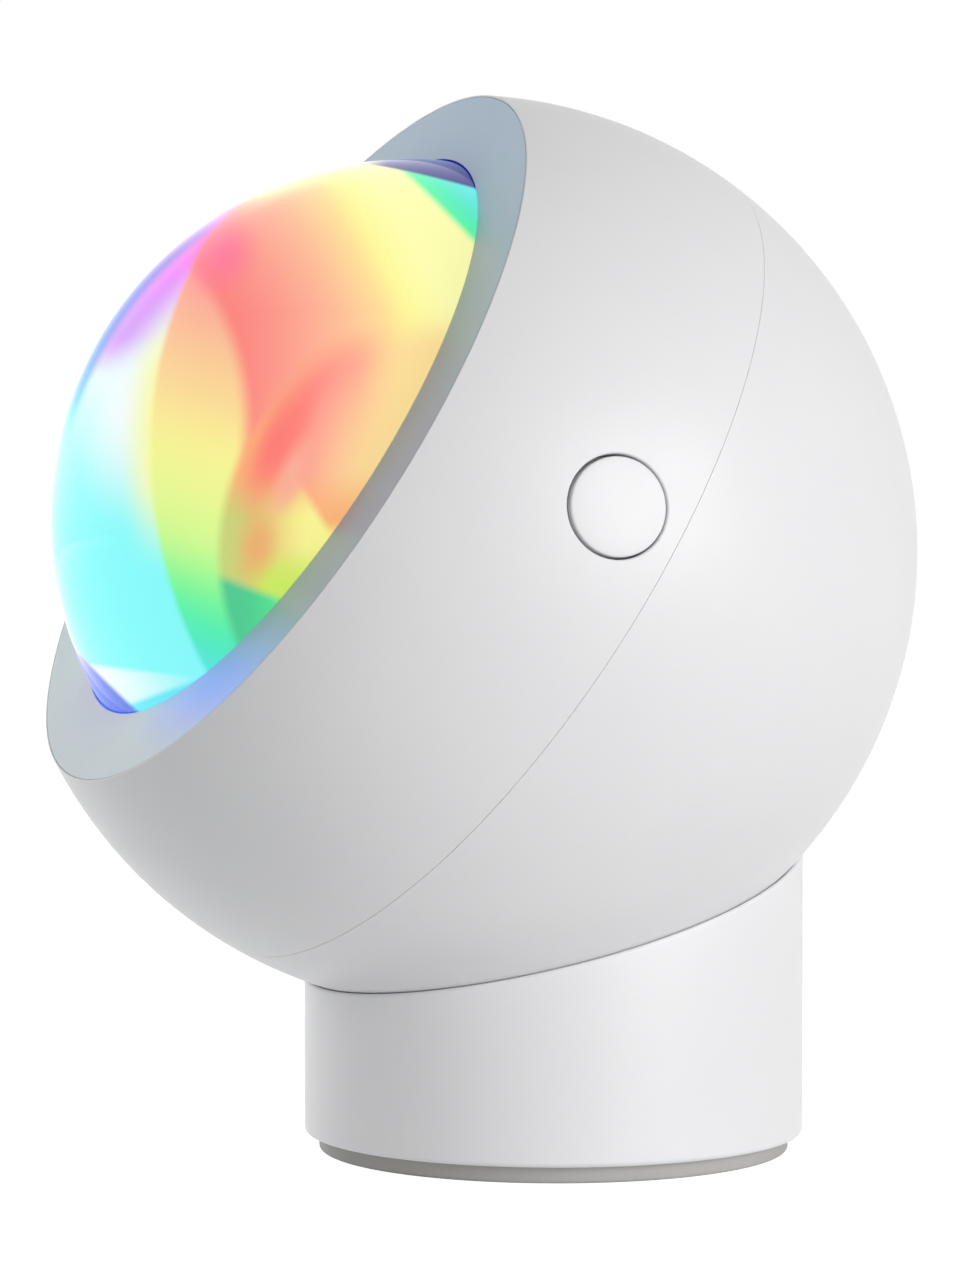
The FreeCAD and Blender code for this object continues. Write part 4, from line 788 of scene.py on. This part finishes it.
CYAN = (134, 255, 255)
ICE = (186, 254, 253)
PEARL = (246, 255, 255)
BLUSH = (252, 226, 248)
LILAC = (208, 150, 244)
ORCHID = (240, 116, 252)
MAGENTA = (255, 124, 226)
ROSE = (255, 112, 150)
CORAL = (255, 124, 118)
SALMON = (255, 156, 144)
APRICOT = (255, 190, 152)
PINK = (252, 176, 152)
TANGERINE = (255, 182, 120)
GOLD = (255, 224, 152)
YELLOW = (255, 252, 150)
CREAM = (255, 255, 180)
LIME = (216, 255, 146)
GREEN = (90, 254, 150)
EMERALD = (76, 206, 146)
TEAL = (70, 236, 200)
AQUA = (100, 236, 250)
LAGOON = (40, 180, 215)
AZURE = (30, 110, 210)
BLUE = (64, 104, 226)
VIOLET = (90, 56, 190)
INK = (20, 26, 130)
OLIVE = (204, 214, 122)
OCHRE = (230, 188, 116)
AMBER = (240, 176, 112)
STRAW = (242, 226, 134)
MOSS = (206, 240, 96)

# Millimetres in the petals' plane: a circle is its middle and radius, a spot
# its middle, half widths and turn, and an edge the direction across it and
# where it starts and ends. Pairs say where a mask starts and ends.
LEFT_CIRCLE = ((15.4, 8.6), 40.7)
RIGHT_CIRCLE = ((-38.9, 9.4), 21.7)
HEART_CIRCLE = ((-1.0, -0.9), 18.4)
DOME_CIRCLE = ((-4.2, 2.7), 31.5)

SIDE_BANDS = {-4: CYAN, 3: CYAN, 12: ICE, 18: PEARL, 24: BLUSH}
# A painted reflection: a soft pearl spot on the dome's left side, where a lamp would show in the
# glass.
PEARL_HIGHLIGHT = ((-27.6, 11.6), (5.8, 11.0))
WARM_REACH = 1.5
WARM_SOFT = 3.4
WARM_RISE = (-3, 7)
WARM_FALL = (21, 14)
VIOLET_BANDS = {15: LILAC, 20: LILAC, 23.5: ORCHID, 28: MAGENTA}
VIOLET_EDGE = (139, 29.4, 33.4)
VIOLET_RISE = (13.5, 18)


def lens_side(tree, flat, height):
    """The cyan side of the dome, white and violet above, warm beside the first petal, with a
    painted reflection in pearl on its left.
    """
    colour = bands(tree, height, SIDE_BANDS)
    colour = over(tree, colour, PEARL, blot(tree, flat, *PEARL_HIGHLIGHT))
    middle, radius = LEFT_CIRCLE
    warm = both(tree, disc(tree, flat, middle, radius + WARM_REACH, WARM_SOFT),
                both(tree, fade(tree, height, *WARM_RISE), fade(tree, height, *WARM_FALL)))
    colour = over(tree, colour, CREAM, warm)
    violet = both(tree, cut(tree, flat, *VIOLET_EDGE), fade(tree, height, *VIOLET_RISE))
    return over(tree, colour, bands(tree, height, VIOLET_BANDS), violet)


PETAL_WAY = 70
PETAL_BANDS = {-18: AQUA, -15: TEAL, -11: GREEN, -7: LIME, -0.5: YELLOW, 4: GOLD,
               10: APRICOT, 17: ROSE}
PETAL_SOFT = 0.8
UPPER_BANDS = {-19: CORAL, -14: SALMON, -9.5: APRICOT, -6: GOLD, -4: YELLOW, -1: CREAM}
UPPER_SOFT = 1.8
UPPER_RISE = (3, 8)
UPPER_LEAN_RISE = (19.0, 31.0)
UPPER_LEAN = 6.0
ROSE_SPOT = ((-19.8, 24.6), (4.0, 4.6))


def lens_petals(tree, flat, height, across, side):
    """The long petal from aqua up to rose, and the coral and yellow one on its right."""
    left = disc(tree, flat, *LEFT_CIRCLE, PETAL_SOFT)
    petal = bands(tree, along(tree, flat, PETAL_WAY), PETAL_BANDS)
    colour = over(tree, side, petal, left)
    lean = add(tree, "ShaderNodeMapRange", {
        "Value": height, "From Min": UPPER_LEAN_RISE[0], "From Max": UPPER_LEAN_RISE[1],
        "To Min": 0.0, "To Max": UPPER_LEAN})
    shift = sum_of(tree, "ADD", across, lean.outputs["Result"])
    upper = both(tree, both(tree, left, other(tree, disc(tree, flat, *RIGHT_CIRCLE, UPPER_SOFT))),
                 fade(tree, height, *UPPER_RISE))
    colour = over(tree, colour, bands(tree, shift, UPPER_BANDS), upper)
    return over(tree, colour, ROSE, blot(tree, flat, *ROSE_SPOT))


HEART_BANDS = {10.5: GOLD, 13.5: APRICOT, 16: SALMON, 18: CORAL, 20.5: TANGERINE,
               22: TANGERINE}
HEART_DRIFT_WAY = 42
HEART_DRIFT = 0.48
HEART_CRISP = 1.2
HEART_SOFT = 4.0
HEART_SOFT_RISE = (8, 15)
LOW_BANDS = {-19.5: OLIVE, -17.8: OLIVE, -16: OCHRE, -14: STRAW, -12: YELLOW}
LOW_FALL = (6.6, 1.6)
MOSS_FALL = (0.5, -3.5)
MOSS_SIDE = (-18, -15)
AMBER_SPOT = ((-16.2, -0.2), (2.2, 3.8), -10)
TANGERINE_EDGE = (31, -8.9, -7.9)
TANGERINE_RISE = (0, 2)
CORAL_SPOT = ((-14.7, 8.0), (2.6, 7.4), -26)
PINK_SPOT = ((-13.4, 5.4), (1.7, 4.8), -24)
GOLD_SIDE = (-8.5, -4)
GREEN_BANDS = {-19: EMERALD, -16.5: EMERALD, -13.5: GREEN}
GREEN_EDGE = (PETAL_WAY, -8.5, -9.6)


def lens_heart(tree, flat, height, across):
    """The disc of coral and orange by the bezel, yellow and green below."""
    reach = add(tree, "ShaderNodeVectorMath", {0: flat, 1: (*HEART_CIRCLE[0], 0)},
                operation="DISTANCE").outputs["Value"]
    drift = sum_of(tree, "MULTIPLY", along(tree, flat, HEART_DRIFT_WAY), HEART_DRIFT)
    colour = bands(tree, sum_of(tree, "SUBTRACT", reach, drift), HEART_BANDS)
    low = bands(tree, across, LOW_BANDS)
    low = over(tree, low, MOSS, both(tree, fade(tree, height, *MOSS_FALL),
                                     fade(tree, across, *MOSS_SIDE)))
    low = over(tree, low, AMBER, blot(tree, flat, *AMBER_SPOT))
    orange = both(tree, cut(tree, flat, *TANGERINE_EDGE), fade(tree, height, *TANGERINE_RISE))
    low = over(tree, low, TANGERINE, orange)
    colour = over(tree, colour, low, fade(tree, height, *LOW_FALL))
    colour = over(tree, colour, CORAL, blot(tree, flat, *CORAL_SPOT))
    colour = over(tree, colour, PINK, blot(tree, flat, *PINK_SPOT))
    colour = over(tree, colour, GOLD, fade(tree, across, *GOLD_SIDE))
    return over(tree, colour, bands(tree, across, GREEN_BANDS), cut(tree, flat, *GREEN_EDGE))


BRIGHT_SPOT = ((-31.5, -11.5), (13.0, 7.0), -6)
BRIGHT_EDGE = (84, -12.7, -13.3)
BELOW_EDGE = (109, -3.0, -3.7)
CRESCENT_WAY = -41
CRESCENT_BANDS = {-21: LILAC, -17: BLUE, -12.5: BLUE}
CRESCENT_EDGE = (49, -27.8, -28.4)


def lens_foot(tree, flat, colour):
    """The bright band, the pale blue below it and the blue crescent at the dome's foot."""
    bright = both(tree, cut(tree, flat, *BRIGHT_EDGE), blot(tree, flat, *BRIGHT_SPOT))
    colour = over(tree, colour, PEARL, bright)
    colour = over(tree, colour, AQUA, cut(tree, flat, *BELOW_EDGE))
    crescent = bands(tree, along(tree, flat, CRESCENT_WAY), CRESCENT_BANDS)
    return over(tree, colour, crescent, cut(tree, flat, *CRESCENT_EDGE))


CORNER_WAY = 41
CORNER_BANDS = {17: GREEN, 19: TEAL, 21: AQUA}
CORNER_RISE = (16.9, 17.8)
STRIP_EDGE = (73, 29.1, 29.5)
STRIP_SIDE = (-10, -6)


def lens_corner(tree, flat, across, colour):
    """The teal wedge and the dark blue strip at the dome's upper end."""
    reach = along(tree, flat, CORNER_WAY)
    colour = over(tree, colour, bands(tree, reach, CORNER_BANDS), fade(tree, reach, *CORNER_RISE))
    strip = both(tree, cut(tree, flat, *STRIP_EDGE), fade(tree, across, *STRIP_SIDE))
    return over(tree, colour, INK, strip)


# A painted highlight: cream laid along the dome's upper left edge, this deep and soft, on this
# side and above this height.
GLOW_DEPTH = 1.6
GLOW_SOFT = 3.2
GLOW_SIDE = (-19.5, -15)
GLOW_RISE = (16, 24)
# A painted glint: blue to violet bands laid on the dome's upper left side where it is seen at a
# glancing angle.
GLINT_BANDS = {8: CYAN, 13: LAGOON, 17.5: AZURE, 21: BLUE, 25: VIOLET, 29: LILAC}
GLINT_GLANCE = (0.72, 0.84)
GLINT_SIDE = (-18.5, -22.5)
GLINT_RISE = (6, 13)
LENS_BODY = 0.3
LENS_LIGHT = 0.78
LENS_ROUGH = 0.06
LENS_IOR = 1.3


def lens_colours(tree):
    """The petals that show in the dome, one over the other, a painted highlight along its upper
    left edge and a painted blue glint where it is seen at a glancing angle.
    """
    flat = petal_frame(tree)
    height = along(tree, flat, 90)
    across = along(tree, flat, 0)
    side = lens_side(tree, flat, height)
    colour = lens_petals(tree, flat, height, across, side)
    edge = add(tree, "ShaderNodeMix", {
        "Factor": fade(tree, height, *HEART_SOFT_RISE),
        "A": disc(tree, flat, *HEART_CIRCLE, HEART_CRISP),
        "B": disc(tree, flat, *HEART_CIRCLE, HEART_SOFT)}).outputs["Result"]
    colour = over(tree, colour, lens_heart(tree, flat, height, across), edge)
    middle, radius = DOME_CIRCLE
    # Painted highlight along the dome's upper left edge.
    glow = both(tree, other(tree, disc(tree, flat, middle, radius - GLOW_DEPTH, GLOW_SOFT)),
                fade(tree, across, *GLOW_SIDE))
    colour = over(tree, colour, CREAM, both(tree, glow, fade(tree, height, *GLOW_RISE)))
    colour = lens_corner(tree, flat, across, lens_foot(tree, flat, colour))
    # Painted glint: colour laid by how glancingly the dome is seen.
    glance = add(tree, "ShaderNodeLayerWeight", {"Blend": 0.5}).outputs["Facing"]
    painted_glint = both(tree, fade(tree, glance, *GLINT_GLANCE), fade(tree, across, *GLINT_SIDE))
    painted_glint = both(tree, painted_glint, fade(tree, height, *GLINT_RISE))
    return over(tree, colour, bands(tree, height, GLINT_BANDS), painted_glint)


def lens_finish():
    """Clear coated glass with its colours lit from inside."""
    finish = bpy.data.materials.new("lens_glass_lit")
    finish.use_nodes = True
    tree = finish.node_tree
    shader = tree.nodes["Principled BSDF"]
    colour = lens_colours(tree)
    body = add(tree, "ShaderNodeVectorMath", {0: colour, "Scale": LENS_BODY}, operation="SCALE")
    tree.links.new(body.outputs["Vector"], shader.inputs["Base Color"])
    tree.links.new(colour, shader.inputs["Emission Color"])
    shader.inputs["Emission Strength"].default_value = LENS_LIGHT
    shader.inputs["Roughness"].default_value = LENS_ROUGH
    shader.inputs["IOR"].default_value = LENS_IOR
    return finish


lens = turned("lens_dome", lens_outline, HEAD, LENS_STEPS, lens_finish())
even_shading(lens)
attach(lens, "head")
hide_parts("lens")


# -------------------------------------------------------------------- gasket
# A flat ring of clear silicone between the bezel and the lens's flange, which
# the bezel presses on it, so that the glass doesn't rattle.

dress("lens_gasket", grained("silicone", (222, 224, 224), (212, 214, 214), rough=0.3,
                             grain=1800, depth=0.004 * MM))


# --------------------------------------------------------------------- bezel
# The flat ring round the lens, moulded in light grey plastic. Its skirt snaps
# behind the front shell's ledge and presses the clear gasket on the lens.

BEZEL_EDGE = 0.08 * MM
BEZEL_INNER = LENS_RADIUS + FIT_GAP
BEZEL_OUTER = BEZEL_SEAT - 0.03 * MM
SKIRT_BORE = SKIRT_RADIUS - 1.6 * MM
SKIRT_BACK = BEZEL_BACK - 4.1 * MM
BEZEL_GREY = (228, 236, 239)
BEZEL_SHADE = (222, 230, 233)
# Painted shade: a darker slate grey laid over the ring's side beside the glass, where the dome
# shades it.
BEZEL_PAINTED_SHADE = (180, 204, 226)
PAINTED_SHADE_SIDE = (-22, -10)
# Painted light: the lens's blue light spilling onto the ring at the dome's foot, laid in its
# colour and glowing through its emission.
BEZEL_SPILL_BLUE = (178, 180, 236)
BEZEL_GLOW = (30, 70, 160)
GLOW_SPOT = ((-19.6, -11.3), (10.0, 4.2), 33)
GLOW_STRENGTH = 0.9

bezel_under = math.sqrt(DOME_RADIUS ** 2 - (BEZEL_BACK - DOME_CENTRE) ** 2) + FIT_GAP
bezel_outline = [(SKIRT_BORE, BEZEL_BACK), (SKIRT_BORE, SKIRT_BACK), (SKIRT_RADIUS, SKIRT_BACK),
                 (SKIRT_RADIUS, BEZEL_BACK), (BEZEL_OUTER, BEZEL_BACK)]
bezel_outline += arc((BEZEL_OUTER - BEZEL_EDGE, RIM_PLANE - BEZEL_EDGE), BEZEL_EDGE, 0, 90, 4)
bezel_outline += arc((BEZEL_INNER + BEZEL_EDGE * 1.3, RIM_PLANE - BEZEL_EDGE), BEZEL_EDGE,
                     90, 150, 3)
bezel_outline += [(bezel_under, BEZEL_BACK)]


def bezel_finish():
    """Satin grey plastic, with painted shade beside the glass and a painted blue glow of the
    lens's light at the dome's foot.
    """
    finish = grained("bezel_satin", BEZEL_GREY, BEZEL_SHADE, rough=0.34, grain=4200,
                     depth=0.002 * MM)
    tree = finish.node_tree
    shader = tree.nodes["Principled BSDF"]
    flat = petal_frame(tree)
    colour = shader.inputs["Base Color"].links[0].from_socket
    # Painted shade over the ring's side beside the glass.
    colour = over(tree, colour, BEZEL_PAINTED_SHADE, cut(tree, flat, 0, *PAINTED_SHADE_SIDE))
    # Painted light spill from the lens: blue colour and a glow on the ring.
    lit = blot(tree, flat, *GLOW_SPOT)
    colour = over(tree, colour, BEZEL_SPILL_BLUE, lit)
    tree.links.new(colour, shader.inputs["Base Color"])
    glow = over(tree, paint(0, 0, 0), BEZEL_GLOW, lit)
    tree.links.new(glow, shader.inputs["Emission Color"])
    shader.inputs["Emission Strength"].default_value = GLOW_STRENGTH
    return finish


bezel = turned("bezel_ring", bezel_outline, HEAD, LENS_STEPS, bezel_finish())
even_shading(bezel)
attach(bezel, "head")
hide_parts("lens_bezel")


# ------------------------------------------------------ table, lights, camera
# A plain white table without an edge, a large soft lamp on the button's side,
# a small one by it, one behind the lamp, and the camera at the photograph's
# angle. The table and the room look white, and light the lamp far less.

TABLE_SIZE = 6.0
TABLE_WHITE = (0.9, 0.9, 0.9, 1)
TABLE_ROUGH = 0.9
TABLE_SEEN_SHARE = 0.5
TABLE_SEEN_STRENGTH = 1.8
ROOM_WHITE = (1, 1, 1, 1)
ROOM_STRENGTH = 0.26
ROOM_SEEN_STRENGTH = 1.0
SOFTBOX_SIZE = 0.85
SOFTBOX_DISTANCE = 1.2
CAMERA_SPOT = Vector((317.86, -147.14, 54.64)) * MM
CAMERA_WAY = Vector((-0.91484, 0.40290, -0.02691))
CAMERA_FIELD = math.radians(18.494)
CAMERA_NEAR = 10.0 * MM
SENSOR = 36.0


def seen_by(tree, *rays):
    """1 for the kinds of ray that see a plain white, and 0 for the light that falls."""
    path = add(tree, "ShaderNodeLightPath").outputs
    seen = path[rays[0]]
    for ray in rays[1:]:
        seen = sum_of(tree, "MAXIMUM", seen, path[ray])
    return seen


def softbox(name, azimuth, height, share, seen_in_gloss=True):
    """A square lamp facing the ball that adds about share of full white to it."""
    lamp = bpy.data.lights.new(name, "AREA")
    lamp.shape = "SQUARE"
    lamp.size = SOFTBOX_SIZE
    lamp.energy = share * (math.pi * SOFTBOX_DISTANCE) ** 2
    turn = math.radians(azimuth)
    rise = math.radians(height)
    way = Vector((math.sin(turn) * math.cos(rise), -math.cos(turn) * math.cos(rise),
                  math.sin(rise)))
    obj = bpy.data.objects.new(name, lamp)
    obj.location = BALL_CENTRE + way * SOFTBOX_DISTANCE
    obj.rotation_euler = (-way).to_track_quat("-Z", "Y").to_euler()
    obj.visible_glossy = seen_in_gloss
    bpy.context.scene.collection.objects.link(obj)


half = TABLE_SIZE / 2
table = piece("table", [(-half, -half, 0), (half, -half, 0), (half, half, 0), (-half, half, 0)],
              [(0, 1, 2, 3)])
table_paint = bpy.data.materials.new("table_white")
table_paint.use_nodes = True
tree = table_paint.node_tree
matt = tree.nodes["Principled BSDF"]
matt.inputs["Base Color"].default_value = TABLE_WHITE
matt.inputs["Roughness"].default_value = TABLE_ROUGH
matt.inputs["Specular IOR Level"].default_value = 0.0
seen = seen_by(tree, "Is Camera Ray", "Is Glossy Ray")
white = add(tree, "ShaderNodeEmission", {"Color": ROOM_WHITE, "Strength": TABLE_SEEN_STRENGTH})
blend = add(tree, "ShaderNodeMixShader", {0: sum_of(tree, "MULTIPLY", seen, TABLE_SEEN_SHARE),
                                          1: matt.outputs["BSDF"], 2: white.outputs["Emission"]})
tree.links.new(blend.outputs["Shader"], tree.nodes["Material Output"].inputs["Surface"])
table.data.materials.append(table_paint)

room = bpy.data.worlds.new("studio")
bpy.context.scene.world = room
room.use_nodes = True
tree = room.node_tree
ambient = tree.nodes["Background"]
ambient.inputs["Color"].default_value = ROOM_WHITE
ambient.inputs["Strength"].default_value = ROOM_STRENGTH
seen = seen_by(tree, "Is Camera Ray", "Is Glossy Ray", "Is Transmission Ray")
white = add(tree, "ShaderNodeBackground", {"Color": ROOM_WHITE, "Strength": ROOM_SEEN_STRENGTH})
blend = add(tree, "ShaderNodeMixShader", {0: seen, 1: ambient.outputs[0], 2: white.outputs[0]})
tree.links.new(blend.outputs["Shader"], tree.nodes["World Output"].inputs["Surface"])

softbox("key_softbox", azimuth=112, height=8, share=0.76)
softbox("near_softbox", azimuth=95, height=12, share=0.12)
softbox("far_softbox", azimuth=300, height=15, share=0.52, seen_in_gloss=False)

lens_view = bpy.data.cameras.new("photo_camera")
lens_view.sensor_fit = "VERTICAL"
lens_view.sensor_height = SENSOR
lens_view.lens = SENSOR / 2 / math.tan(CAMERA_FIELD / 2)
lens_view.clip_start = CAMERA_NEAR
camera = bpy.data.objects.new("photo_camera", lens_view)
camera.location = CAMERA_SPOT
camera.rotation_euler = CAMERA_WAY.to_track_quat("-Z", "Y").to_euler()
bpy.context.scene.collection.objects.link(camera)
bpy.context.scene.camera = camera
bpy.context.scene.view_settings.view_transform = "Standard"
